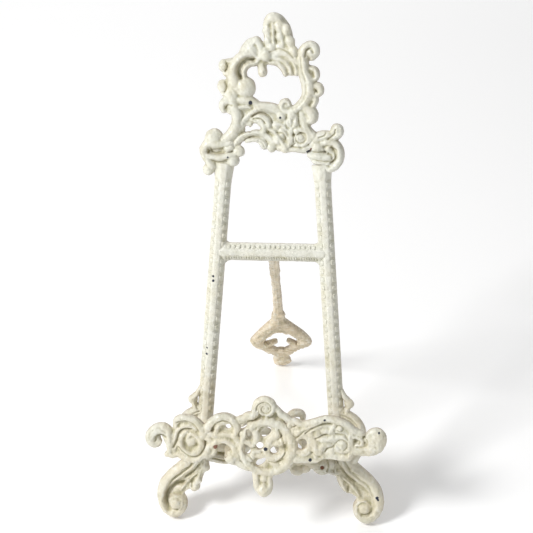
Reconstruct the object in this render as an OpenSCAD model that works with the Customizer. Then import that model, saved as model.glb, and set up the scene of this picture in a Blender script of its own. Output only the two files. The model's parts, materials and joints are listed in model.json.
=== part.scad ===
// Tabletop display easel: a one-sided scrollwork casting that leans back on two
// scroll feet, a separate openwork ledge held off its front on two arms, and a
// hinged rear leg. Everything is drawn in the frame's own plane (x across,
// y through the casting with its flat back at y = back, z up the frame) and
// then leant back as one.

/* [Stance] */
// angle the frame leans back from upright, degrees
lean = 21; // [10:1:30]
// angle of the open rear leg from upright, degrees
leg_tilt = 30.5; // [20:0.5:40]
// distance that the origin is moved back so that it sits under the middle
origin_y = 94.97; // [60:0.01:120]
// height of the frame's own zero above the table
origin_z = 1.17; // [0:0.01:4]

/* [Frame] */
// flat back of the casting, measured through the casting
back = 3; // [1:0.5:5]
// thickness of posts and crossbar
bar_t = 8; // [5:0.5:12]
// width of the posts
post_w = 12.5; // [8:0.5:18]
// width of the crossbar
cross_w = 14; // [8:0.5:20]
// width of the flat band that runs along the front of posts and crossbar
band_w = 4; // [3:0.5:9]
// half distance between the post centre lines at the crossbar
post_x = 42.5; // [30:0.5:60]
// splay of each post from upright, degrees
splay = 4.3; // [0:0.1:10]
// height of the crossbar centre up the frame
cross_z = 223; // [180:1:260]
// thickness of the ornament
relief_t = 9; // [6:0.5:14]

/* [Ledge] */
// distance from the frame's back plane to the ledge's flat back
ledge_y = -31; // [-45:1:-20]
// thickness of the ledge's ornament
ledge_t = 7; // [4:0.5:12]
// half distance between the two ledge arms
arm_x = 30; // [20:1:40]
// height of the arm centres up the frame
arm_z = 70; // [55:1:85]
// diameter of the two ledge screws
screw_d = 4; // [3:0.5:5]

/* [Hinge] */
// distance of the hinge axis behind the frame's zero plane
hinge_y = 9; // [7:0.5:14]
// diameter of the hinge pin
pin_d = 4; // [3:0.5:6]
// radial clearance of the leg's eye on the pin
pin_gap = 0.08; // [0.02:0.01:0.1]
// width of the leg's eye along the pin
eye_w = 10; // [6:0.5:14]
// length of the rear leg from the pin to the tip of its foot
leg_l = 237.9; // [200:0.1:260]

/* [Hidden] */
$fn = 48;
cream = [0.94, 0.93, 0.87];
beige = [0.80, 0.75, 0.66];
rusty = [0.50, 0.34, 0.24];
leg_a = 90 - leg_tilt - lean;      // leg below the frame's normal at rest

// ---------- drawing helpers ----------
function mix4(a, b, c, d, t) = 0.5 * (2 * b + (c - a) * t
    + (2 * a - 5 * b + 4 * c - d) * t * t + (3 * b - a - 3 * c + d) * t * t * t);
function curve(p, n) = concat([for (i = [0 : len(p) - 2], j = [0 : n - 1])
    mix4(p[max(i - 1, 0)], p[i], p[i + 1], p[min(i + 2, len(p) - 1)], j / n)],
    [p[len(p) - 1]]);
function edge(s, k) = [for (i = [0 : len(s) - 1])
    let (a = s[max(i - 1, 0)], b = s[min(i + 1, len(s) - 1)],
         d = [b[0] - a[0], b[1] - a[1]] / norm([b[0] - a[0], b[1] - a[1]]))
    [s[i][0] - k * d[1] * s[i][2] / 2, s[i][1] + k * d[0] * s[i][2] / 2]];
function back_to_front(l) = [for (i = [len(l) - 1 : -1 : 0]) l[i]];
function narrow(p, f) = [for (q = p) [q[0], q[1], q[2] * f]];

module strap(p, n = 5) {             // a curved strap: [x, z, width] points
    s = curve(p, n);
    polygon(concat(edge(s, 1), back_to_front(edge(s, -1))));
}
module slab(y, t) translate([0, y, 0]) rotate([90, 0, 0]) linear_extrude(t) children();
module roll(p, t = relief_t, y = back, n = 5) {   // a moulded strap
    slab(y, t * 0.66) strap(p, n);
    slab(y, t) strap(narrow(p, 0.5), n);
}
module dome(x, z, r, y = back) intersection() {
    translate([x, y, z]) sphere(r);
    translate([x - r - 1, y - r - 1, z - r - 1]) cube([2 * r + 2, r + 1, 2 * r + 2]);
}
module disc(x, z, r, t = relief_t, y = back) slab(y, t) translate([x, z]) circle(r);
module leant() translate([0, -origin_y, origin_z]) rotate([-lean, 0, 0]) children();
module other_side() mirror([1, 0, 0]) children();

// ---------- posts and crossbar ----------
module bar_section(w) polygon([[-w / 2, back], [w / 2, back], [w / 2, back - bar_t * 0.4],
    [band_w / 2, back - bar_t], [-band_w / 2, back - bar_t], [-w / 2, back - bar_t * 0.4]]);
module post_solid(z0, z1) translate([post_x, 0, cross_z]) rotate([0, -splay, 0])
    translate([0, 0, z0 - cross_z]) linear_extrude(z1 - z0) bar_section(post_w);
module post() color(cream) leant() post_solid(64, 291);
module right_post() post();
module left_post() other_side() post();
module post_cut() {                  // the post's room, open to front and back
    post_solid(180, 260);
    translate([post_x, 0, cross_z]) rotate([0, -splay, 0]) translate([0, back - 30, -40])
        cube([60, 60, 80]);
}
module crossbar() color(cream) leant() difference() {
    translate([-post_x, 0, cross_z]) rotate([0, 90, 0]) linear_extrude(2 * post_x)
        bar_section(cross_w);
    post_cut();
    other_side() post_cut();
}
module hinge_lugs() color(cream) leant() difference() {
    for (s = [-1, 1]) translate([s * (eye_w / 2 + 2.5), 0, cross_z]) {
        translate([-2, hinge_y, 0]) rotate([0, 90, 0]) cylinder(r = 5.6, h = 4);
        translate([-2, back, -5]) cube([4, hinge_y - back, 10]);
    }
    translate([-20, hinge_y, cross_z]) rotate([0, 90, 0]) cylinder(d = pin_d + 0.16, h = 40);
}

// ---------- feet ----------
foot_scroll = [[57, 63, 13], [61, 52, 14], [70, 43, 14], [81, 35, 14], [88, 25, 13],
    [89, 14, 12], [82.5, 6, 11], [74, 6, 9], [70.5, 14, 6]];
module foot() color(cream) leant() {
    roll(foot_scroll);
    disc(78, 17, 8.5, relief_t * 0.6);
    dome(77.5, 16.5, 6.5);
    roll([[57, 50, 7], [57, 40, 8], [60, 30, 6], [64, 27, 3]], relief_t * 0.9);
    dome(61, 30, 4.6);
    dome(53.5, 45, 4.2);
    roll([[66, 42, 6], [71, 44, 6], [75, 46, 3]], relief_t * 0.8);
}
module right_foot() foot();
module left_foot() other_side() foot();

// ---------- outer brackets beside the posts ----------
bracket_scroll = [[55, 96, 8], [63, 91, 8], [71, 84, 8], [73.5, 73, 8], [71, 61, 8], [65, 51, 6]];
module bracket() color(cream) leant() difference() {
    union() {
        roll(bracket_scroll, relief_t * 0.85);
        dome(61.5, 102, 4.2);
        roll([[57, 113, 4], [60, 106, 5], [61, 98, 6], [58, 92, 6]], relief_t * 0.7);
    }
    post_solid(60, 130);
    slab(back + 1, relief_t + 2) strap(foot_scroll);
}
module right_bracket() bracket();
module left_bracket() other_side() bracket();

// ---------- apron between the posts, behind the ledge ----------
module apron() color(cream) leant() difference() {
    union() {
        roll([[50, 50, 12], [42, 48, 15], [32, 50, 9], [22, 50, 13], [13, 54, 8], [6, 62, 7],
            [3, 71, 6], [-4, 77, 6], [-12, 74, 6], [-18, 64, 8], [-24, 57, 9], [-34, 52, 11],
            [-44, 53, 11], [-51, 55, 11]]);
        roll([[50, 84, 8], [42, 72, 9], [30, 70, 13], [17, 76, 9], [8, 73, 6]], relief_t * 0.86);
        roll([[-50, 84, 8], [-42, 72, 9], [-30, 70, 13], [-20, 75, 8], [-13, 75, 6]],
            relief_t * 0.87);
        roll([[13, 76, 7], [14, 86, 7], [20, 92, 6], [26, 88, 5], [24, 80, 4]], relief_t * 0.78);
        dome(21, 88, 5.2);
        roll([[-14, 74, 7], [-14, 82, 8], [-20, 85, 7], [-24, 80, 5]], relief_t * 0.74);
        disc(42, 48, 9.3, relief_t * 0.96);
        disc(30, 70, 8, relief_t);
        disc(-30, 70, 8, relief_t);
    }
    post_solid(60, 110);
    other_side() post_solid(60, 110);
    for (s = [-1, 1]) translate([s * arm_x, back + 1, arm_z]) rotate([90, 0, 0])
        cylinder(d = screw_d + 0.3, h = relief_t + 4);
    translate([42, back - 1, 48]) rotate([90, 0, 0]) cylinder(d = 3.6, h = relief_t + 4);
    slab(back + 1, relief_t + 2) strap(foot_scroll);
    other_side() slab(back + 1, relief_t + 2) strap(foot_scroll);
    slab(back + 1, relief_t + 2) strap([[57, 50, 7], [57, 40, 8], [60, 30, 6]]);
    other_side() slab(back + 1, relief_t + 2) strap([[57, 50, 7], [57, 40, 8], [60, 30, 6]]);
}

// ---------- capitals ----------
module right_capital() color(cream) leant() difference() {
    union() {
        disc(39, 297, 9.2, bar_t);
        roll([[31, 307, 9], [40, 312, 11], [48, 313, 9], [50.5, 319, 7], [46.5, 321, 4]]);
        roll([[38, 309, 7], [46, 308, 8], [50.5, 300, 8], [48, 292, 7], [41, 289.5, 5]], relief_t * 0.9);
        dome(48, 300, 5);
        roll([[30, 300, 6], [32, 296, 4]], relief_t * 0.7);
    }
    post_solid(240, 291);
}
module left_capital() color(cream) leant() difference() {
    union() {
        disc(-39, 297, 8.5, bar_t);
        roll([[-31, 306, 9], [-39, 304, 11], [-48, 305, 10], [-52, 299, 8], [-47, 291, 7]]);
        disc(-44.5, 312, 6.6, relief_t * 0.7);
        dome(-44.5, 312, 5.8);
        dome(-49, 286, 5);
        dome(-30, 294, 5.4);
        dome(-26, 301, 5);
    }
    other_side() post_solid(240, 291);
}

// ---------- crest ----------
module crest_left_scroll() color(cream) leant() {
    roll([[-30, 309, 8], [-25, 320, 8], [-27, 332, 8], [-31, 341, 9], [-31, 352, 10],
        [-30, 364, 10], [-21, 374, 10], [-12, 372, 7]]);
    dome(-22, 349, 8);
    disc(-22, 349, 6, relief_t * 0.7);
    dome(-37, 365, 5);
    dome(-37, 350, 5);
    dome(-35, 336, 6);
    roll([[-29, 339, 7], [-22, 341, 7], [-15, 340, 6]], relief_t * 0.8);
}
module crest_right_scroll() color(cream) leant() {
    roll([[12, 334, 5], [20, 337, 7], [26, 346, 8], [26, 357, 8], [21, 367, 8], [22, 376, 7],
        [27, 382, 5], [33, 381, 4], [33.5, 374, 4]]);
    dome(30, 378, 4.8);
    dome(31, 361, 4.2);
    dome(33.5, 348, 4.6);
    dome(31, 340, 4.4);
    dome(10.5, 337, 4.6);
    roll([[21, 337, 6], [28, 334, 6], [29, 327, 6], [27, 319, 6], [29, 311, 7]], relief_t * 0.85);
    dome(29, 329, 4.6);
}
module crest_plume() color(cream) leant() {
    roll([[-1, 374, 14], [2, 385, 15], [2, 394, 12], [-1, 400, 8]], relief_t * 0.85);
    roll([[14, 376, 6], [11, 386, 6], [7, 396, 6], [1, 401, 6]]);
    dome(-1.5, 400, 5.4);
    dome(-5, 392, 3.6);
    roll([[-9, 377, 6], [-12, 382, 6], [-18, 382, 6], [-22, 376, 6]], relief_t * 0.8);
    dome(-15, 382, 4.4);
    roll([[-12, 373, 7], [-2, 371, 9], [8, 371, 9], [17, 367, 8]], relief_t * 0.8);
    dome(-6, 375, 4.4);
    roll([[-8, 370, 6], [-8, 362, 6]], relief_t * 0.7);
    dome(-8, 361, 3.6);
    roll([[6, 368, 7], [9, 362, 8], [16, 361, 6]], relief_t * 0.7);
}
module crest_arch() color(cream) leant() {
    roll([[-38, 306, 8], [-27, 316, 7], [-18, 330, 7], [-8, 334, 7], [3, 331, 7]]);
    roll([[-28, 308, 5], [-20, 313, 6], [-11, 313, 6], [-6, 307, 6]], relief_t * 0.9);
    dome(-8, 326, 5.2);
    dome(-20, 325, 3.7);
}
module crest_leaves() color(cream) leant() {
    slab(back, relief_t * 0.55) polygon([[-10, 330], [2, 334], [14, 334], [22, 330], [29, 318],
        [31, 306], [10, 302], [0, 303], [-4, 314]]);
    roll([[-6, 314, 6], [1, 307, 8], [9, 304, 8], [18, 304, 7], [28, 305, 7]], relief_t * 0.8);
    dome(8, 325, 6.4);
    dome(14, 314, 6.8);
    dome(4, 309, 5.6);
    dome(22, 309, 6.6);
}

// ---------- ledge ----------
module at_ledge() translate([0, ledge_y - back, 0]) children();
module ledge_medallion() color(cream) leant() at_ledge() difference() {
    union() {
        disc(-1, 76, 22, ledge_t * 0.7);
        translate([-1, back - ledge_t * 0.55, 76]) rotate([90, 0, 0])
            rotate_extrude() translate([19.5, 0]) circle(3.4);
    }
    slab(back + 1, ledge_t * 2) {
        translate([-14.5, 86]) circle(2.4, $fn = 24);
        translate([0, 87]) circle(3.6, $fn = 24);
        translate([-17, 73]) circle(3.2, $fn = 24);
        translate([-6.5, 76]) circle(2.2, $fn = 24);
        translate([5, 73]) circle(3, $fn = 24);
        translate([-5, 64]) circle(2.6, $fn = 24);
    }
}
module ledge_top_curl() color(cream) leant() at_ledge() difference() {
    union() {
        disc(-2.5, 109, 8.6, ledge_t * 0.75);
        dome(-2.5, 109, 6.2);
        slab(back, ledge_t * 0.6) polygon([[-22, 96], [-11, 104], [5, 104], [14, 98], [0, 92]]);
    }
    slab(back + 1, ledge_t * 3) translate([-1, 76]) circle(23);
}
module ledge_drop() color(cream) leant() at_ledge() difference() {
    union() {
        roll([[-9, 56, 6], [-8, 47, 6], [-6, 41, 7]], ledge_t);
        roll([[3, 56, 7], [1, 48, 6], [0, 41, 7]], ledge_t);
        dome(-3, 41, 6.9);
        disc(-3, 41, 6.2, ledge_t * 0.6);
    }
    slab(back + 1, ledge_t * 3) translate([-1, 76]) circle(23);
}
module ledge_right_wing() color(cream) leant() at_ledge() difference() {
    union() {
        slab(back, ledge_t * 0.6) polygon([[18, 68], [17, 84], [25, 93], [38, 98], [50, 98],
            [60, 93], [65, 85], [64, 75], [65, 66], [48, 66], [36, 63], [24, 65]]);
        roll([[18, 84, 8], [28, 93, 8], [44, 98, 8], [58, 94, 8], [65, 84, 8]], ledge_t);
        roll([[18, 68, 7], [30, 66, 7], [44, 70, 7], [56, 69, 7], [63, 68, 6]], ledge_t * 0.9);
        dome(57, 79, 6.5);
        dome(44, 82, 5.4);
    }
    slab(back + 1, ledge_t * 3) translate([26, 79]) circle(3.6, $fn = 24);
    slab(back + 1, ledge_t * 3) translate([-1, 76]) circle(23);
}
module ledge_left_wing() color(cream) leant() at_ledge() difference() {
    union() {
        slab(back, ledge_t * 0.6) polygon([[-72, 93], [-60, 98], [-50, 93], [-46, 84], [-48, 72],
            [-56, 63], [-66, 64], [-74, 70], [-72, 80]]);
        roll([[-70, 94, 7], [-59, 96, 8], [-50, 88, 8], [-50, 76, 8], [-59, 67, 8], [-68, 73, 7],
            [-68, 82, 6]], ledge_t);
        dome(-59, 80, 6);
        roll([[-46, 84, 7], [-42, 95, 7], [-32, 99, 7], [-24, 93, 7], [-22, 84, 6]], ledge_t);
        roll([[-40, 88, 6], [-33, 85, 7], [-26, 84, 7]], ledge_t * 0.9);
        roll([[-46, 66, 7], [-42, 76, 7], [-33, 78, 7], [-26, 74, 7], [-24, 66, 7]], ledge_t);
        roll([[-52, 74, 8], [-47, 67, 7]], ledge_t * 0.8);
        dome(-28, 67, 6);
        disc(-28, 67, 5.4, ledge_t * 0.6);
    }
    slab(back + 1, ledge_t * 3) translate([-31.5, 91.8]) circle(2.2, $fn = 24);
    slab(back + 1, ledge_t * 3) translate([-1, 76]) circle(23);
}
module ledge_right_curl() color(cream) leant() at_ledge() difference() {
    union() {
        roll([[65, 75, 10], [72, 76, 10], [81, 76, 9], [88, 81, 7], [88, 88, 6], [81, 91, 5], [77, 87, 4]], ledge_t);
        dome(82, 82, 6.6);
    }
    slab(back + 1, ledge_t * 3) strap([[58, 94, 8], [65, 84, 8]]);
    slab(back + 1, ledge_t * 3) strap([[56, 69, 7], [63, 68, 6]]);
    slab(back + 1, ledge_t * 3) polygon([[40, 98], [60, 93], [65, 85], [64, 75], [65, 66], [40, 66]]);
}
module ledge_left_curl() color(cream) leant() at_ledge() {
    roll([[-77, 67, 6], [-75, 76, 8], [-78, 84, 8], [-84, 88.5, 7], [-90.5, 84, 7], [-91, 77, 6],
        [-86, 74.5, 4]], ledge_t);
    disc(-86, 80, 5.5, ledge_t * 0.6);
    dome(-88, 77.5, 5.2);
}
module ledge_arm() color(cream) leant() difference() {   // flat-topped, so a frame can rest on it
    translate([arm_x - 4, ledge_y, arm_z - 5]) cube([8, back - relief_t - ledge_y, 10]);
    translate([arm_x, back - relief_t - 12, arm_z]) rotate([-90, 0, 0])
        cylinder(d = screw_d + 0.06, h = 20);
}
module ledge_right_arm() ledge_arm();
module ledge_left_arm() other_side() ledge_arm();

// ---------- screws ----------
module screw(d, l, head_d, head_h) difference() {   // head at z = 0 and above
    union() {
        translate([0, 0, -l]) cylinder(d = d, h = l);
        intersection() {
            cylinder(d = head_d, h = head_h);
            translate([0, 0, head_h - head_d * 0.72]) sphere(head_d * 0.72);
        }
    }
    translate([-head_d, -0.5, head_h - 1.1]) cube([2 * head_d, 1, 3]);
}
module ledge_screws() color(rusty) leant() for (s = [-1, 1])
    translate([s * arm_x, back, arm_z]) rotate([-90, 0, 0]) screw(screw_d, relief_t + 10, 8, 3);
module hinge_pin() color(rusty) leant()
    translate([eye_w / 2 + 4.5, hinge_y, cross_z]) rotate([0, 90, 0])
        screw(pin_d, eye_w + 12.5, 7.5, 2.6);
module hinge_nut() color(rusty) leant()
    translate([-eye_w / 2 - 4.5, hinge_y, cross_z]) rotate([0, -90, 0]) difference() {
        linear_extrude(2.8) square(7, center = true);
        translate([0, 0, -1]) cylinder(d = pin_d + 0.06, h = 6);
    }

// ---------- rear leg: drawn along -z from the pin, back to the frame ----------
module on_pin() leant() translate([0, hinge_y, cross_z]) rotate([lean + leg_tilt, 0, 0]) children();
module leg_bar() color(beige) difference() {
    union() {
        on_pin() {
            translate([-eye_w / 2, 0, 0]) rotate([0, 90, 0]) cylinder(r = 5, h = eye_w);
            translate([0, 0, -126]) linear_extrude(124) polygon([[-5, -2.5], [5, -2.5],
                [5, 0.5], [1.4, 3.2], [-1.4, 3.2], [-5, 0.5]]);
        }
        leant() translate([-eye_w / 2, back + 0.3, cross_z]) cube([eye_w, 5, 8]);
    }
    on_pin() translate([-20, 0, 0]) rotate([0, 90, 0]) cylinder(d = pin_d + 2 * pin_gap, h = 40);
}
module leg_foot() color(beige) on_pin() translate([0, 2.5, 0]) {
    slab(0, 5) difference() {
        union() {
            translate([0, -130]) square([10, 9], center = true);
            strap([[0, -130, 10], [-9, -152, 13], [-17, -172, 13], [-20, -186, 14], [-12, -200, 12],
                [-3, -215, 10]]);
            strap([[0, -130, 10], [10, -152, 13], [19, -172, 13], [21, -186, 14], [13, -200, 12],
                [3, -215, 10]]);
            polygon([[-12, -150], [12, -150], [4, -166], [-4, -166]]);
            translate([0, -219]) circle(9);
        }
    }
    slab(-0.2, 4.6) translate([0, 9 - leg_l]) circle(9);
    slab(0, 6.5) translate([-19, -186]) circle(5.4);
    slab(0, 6.5) translate([20, -186]) circle(5.4);
}

left_post();
right_post();
crossbar();
hinge_lugs();
left_foot();
right_foot();
left_bracket();
right_bracket();
apron();
left_capital();
right_capital();
crest_left_scroll();
crest_right_scroll();
crest_plume();
crest_arch();
crest_leaves();
ledge_medallion();
ledge_top_curl();
ledge_drop();
ledge_right_wing();
ledge_left_wing();
ledge_right_curl();
ledge_left_curl();
ledge_right_arm();
ledge_left_arm();
ledge_screws();
hinge_pin();
hinge_nut();
leg_bar();
leg_foot();
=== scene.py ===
"""Looks of a cast-iron tabletop display easel: thick cream paint over one-sided
scrollwork castings, a ledge on two arms, and a hinged rear leg."""
import json
import math

import bpy
import numpy as np
from bpy.props import FloatProperty, FloatVectorProperty, PointerProperty
from mathutils import Matrix, Vector


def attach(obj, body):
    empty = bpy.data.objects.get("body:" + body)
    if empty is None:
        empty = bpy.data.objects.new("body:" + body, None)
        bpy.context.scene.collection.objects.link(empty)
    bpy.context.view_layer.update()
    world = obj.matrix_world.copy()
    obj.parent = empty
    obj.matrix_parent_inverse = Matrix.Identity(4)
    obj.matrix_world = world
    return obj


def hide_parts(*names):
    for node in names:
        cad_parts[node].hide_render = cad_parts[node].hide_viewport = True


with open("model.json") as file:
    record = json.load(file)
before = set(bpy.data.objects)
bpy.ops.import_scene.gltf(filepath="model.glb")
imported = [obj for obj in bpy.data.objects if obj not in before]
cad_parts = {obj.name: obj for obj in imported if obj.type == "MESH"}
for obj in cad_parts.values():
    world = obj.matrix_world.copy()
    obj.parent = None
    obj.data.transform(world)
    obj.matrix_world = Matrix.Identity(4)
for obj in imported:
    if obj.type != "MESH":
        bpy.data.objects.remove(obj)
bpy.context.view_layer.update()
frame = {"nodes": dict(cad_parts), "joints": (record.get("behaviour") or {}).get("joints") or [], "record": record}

bl_info = {
    "name": "Display easel",
    "version": (1, 0, 0),
    "blender": (4, 5, 0),
    "location": "View3D > Sidebar > Easel",
    "description": "Builds the scrollwork, bars, leg, paint and studio of a cast-iron display easel",
    "category": "Add Mesh",
}

# ---------------------------------------------------------------- the frame's plane
# Ornament is drawn in millimetres: x across, u up the frame, d out of its front.
_face = next(m for m in frame["record"]["mounts"] if m["name"] == "crossbar_face")
OUT = Vector(_face["axis"]).normalized()
ACROSS = Vector((1, 0, 0))
UP = OUT.cross(ACROSS)
CROSS_U = 223.0      # middle of the crossbar
FACE_AT = (15, CROSS_U, 5)   # where the crossbar's resting face is marked
ZERO = Vector(_face["pos_m"]) - (FACE_AT[0] * ACROSS + FACE_AT[1] * UP + FACE_AT[2] * OUT) * 0.001
HINGE = Vector(frame["joints"][0]["pos_m"])

BACK = -3.0          # flat back of the main casting
LEDGE_BACK = 31.0    # flat back of the ledge
LEDGE_CROWN = LEDGE_BACK + 5.4   # top of the ledge's strokes where a row names none
SINK = 1.6           # how far the ground between the strokes lies back

POST_X, SPLAY = 42.5, math.radians(4.3)   # post's middle at the crossbar, and its slant
POST_ENDS = (62, 292)                     # the post's bottom and top
POST_SWELL = 212                          # distance up the post where it starts to widen
POST_WIDTH, CROSS_WIDTH, BAND = 12.8, 14, 4.0
POST_PADS = (34, 184)                     # first pad's distance up the post, and the row's length
CROSS_HALF, CROSS_OVERLAP = 37.6, 3.3     # half the crossbar's clear length, and how far it enters a post
CROSS_DROP = 0.15                         # keeps its band just under the posts' bands
CROSS_FLARE = (0.6, 74.6)                 # fillets where the crossbar meets the posts
# rows of pads on the crossbar's lower and upper slopes: side, first pad, pitch, number
CROSS_PADS = ((-1, 3.5, 1.95, 36), (1, 4, 3.9, 18))
# chips on the left post: how far below the crossbar, across from the middle, radius
POST_CHIPS = ((19, -1.6, 0.9), (22.6, -1.2, 1.1), (77, -2.2, 0.7), (82, -2.0, 0.9))
MEDALLION = (-1, 75.6)                    # middle of the ledge's medallion


def place(p):
    """Rows of x, u, d in millimetres to metres in the object's frame."""
    p = np.asarray(p, float) * 0.001
    return (np.array(ZERO) + p[:, :1] * np.array(ACROSS) + p[:, 1:2] * np.array(UP)
            + p[:, 2:3] * np.array(OUT))


LEG_TILT = math.radians(30.5)
LEG_DOWN = Vector((0, math.sin(LEG_TILT), -math.cos(LEG_TILT)))
LEG_FRONT = Vector((0, -math.cos(LEG_TILT), -math.sin(LEG_TILT)))


def place_leg(p):
    """Rows of x, s (down the leg from the pin), d (towards the frame) to metres."""
    p = np.asarray(p, float) * 0.001
    return (np.array(HINGE) + p[:, :1] * np.array(ACROSS) + p[:, 1:2] * np.array(LEG_DOWN)
            + p[:, 2:3] * np.array(LEG_FRONT))


# ---------------------------------------------------------------- settings
class EaselSizes(bpy.types.PropertyGroup):
    grain: FloatProperty(name="Casting grain",
                         description="Size of the cells that the scrollwork is fused from", default=0.0005,
                         min=0.0003, max=0.002, unit="LENGTH")
    softness: FloatProperty(name="Softness", description="How far thick paint rounds the casting's edges",
                            default=0.55, min=0.0, max=1.0, subtype="FACTOR")
    lumps: FloatProperty(name="Lumps", description="Height of the unevenness of the paint",
                         default=0.00024, min=0.0, max=0.001, unit="LENGTH")
    pad_pitch: FloatProperty(name="Pad pitch",
                             description="Distance between the raised pads on the posts' slopes",
                             default=0.0067, min=0.003, max=0.02, unit="LENGTH")
    pad_height: FloatProperty(name="Pad height", description="How far the pads stand off the slopes",
                              default=0.0007, min=0.0, max=0.002, unit="LENGTH")


class EaselColours(bpy.types.PropertyGroup):
    paint: FloatVectorProperty(name="Paint", description="Cream paint", subtype="COLOR",
                               default=(0.775, 0.775, 0.675), min=0, max=1)
    # Grime colour: real dirt, and also painted shade where it darkens the recesses.
    grime_and_shade: FloatVectorProperty(name="Grime", description="Yellowish dirt that lies in the recesses",
                               subtype="COLOR", default=(0.42, 0.39, 0.215), min=0, max=1)
    stain: FloatVectorProperty(name="Stain", description="Warmer cream of the clouds in the paint",
                               subtype="COLOR", default=(0.77, 0.70, 0.52), min=0, max=1)
    # Rim brown: on side walls and backs partly thin paint, partly painted shade; also the specks.
    rim: FloatVectorProperty(name="Rim", description="Brown of thin paint on side walls", subtype="COLOR",
                             default=(0.44, 0.34, 0.23), min=0, max=1)
    leg: FloatVectorProperty(name="Leg paint", description="Beige of the rear leg's rough paint",
                             subtype="COLOR", default=(0.87, 0.775, 0.60), min=0, max=1)
    iron: FloatVectorProperty(name="Bare iron", description="Dark iron where paint has chipped off",
                              subtype="COLOR", default=(0.020, 0.026, 0.045), min=0, max=1)
    rust: FloatVectorProperty(name="Rust", description="Rust on screws and round the screw holes",
                              subtype="COLOR", default=(0.22, 0.055, 0.015), min=0, max=1)


def sizes():
    """The easel's size settings."""
    return bpy.context.scene.easel_sizes


def colours():
    """The easel's colour settings."""
    return bpy.context.scene.easel_colours


# ---------------------------------------------------------------- drawing strokes
def curve(pts, step=1.3):
    """A smooth path through rows of numbers, first two being the place."""
    pts = np.asarray(pts, float)
    out = []
    for i in range(len(pts) - 1):
        a, b, c, d = (pts[max(i - 1, 0)], pts[i], pts[i + 1], pts[min(i + 2, len(pts) - 1)])
        n = max(2, int(np.hypot(*(c - b)[:2]) / step + 0.5))
        for t in np.arange(n) / n:
            out.append(0.5 * (2 * b + (c - a) * t + (2 * a - 5 * b + 4 * c - d) * t * t
                              + (3 * b - a - 3 * c + d) * t ** 3))
    out.append(pts[-1])
    return np.array(out)


def spiral(cx, cu, r0, r1, a0, a1, w0, w1, t0=None, t1=None, n=14):
    """Points of a volute: radius r0 to r1 while the angle goes from a0 to a1 degrees."""
    out = []
    for k in range(n + 1):
        t = k / n
        a, r = math.radians(a0 + (a1 - a0) * t), r0 * (r1 / r0) ** t
        row = [cx + r * math.cos(a), cu + r * math.sin(a), w0 + (w1 - w0) * t]
        if t0 is not None:
            row.append(t0 + (t1 - t0) * t)
        out.append(row)
    return out


def mirrored(pts):
    """The same rows on the other side of the frame."""
    return [[-p[0], *p[1:]] for p in pts]


# heights of a stroke's crown at steps across it, from -1 to 1
ACROSS_S = np.array([-1, -0.93, -0.8, -0.62, -0.42, -0.21, 0, 0.21, 0.42, 0.62, 0.8, 0.93, 1])
CROWN = {
    "roll": np.sqrt(1 - ACROSS_S ** 2) ** 0.9,
    "ridge": 1 - np.abs(ACROSS_S) ** 1.25,
    "flat": 1 - np.abs(ACROSS_S) ** 7,
    "lip": np.clip(np.sqrt(1 - ACROSS_S ** 2) ** 0.7 * (0.62 + 0.38 * ACROSS_S), 0, 1),
}


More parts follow.
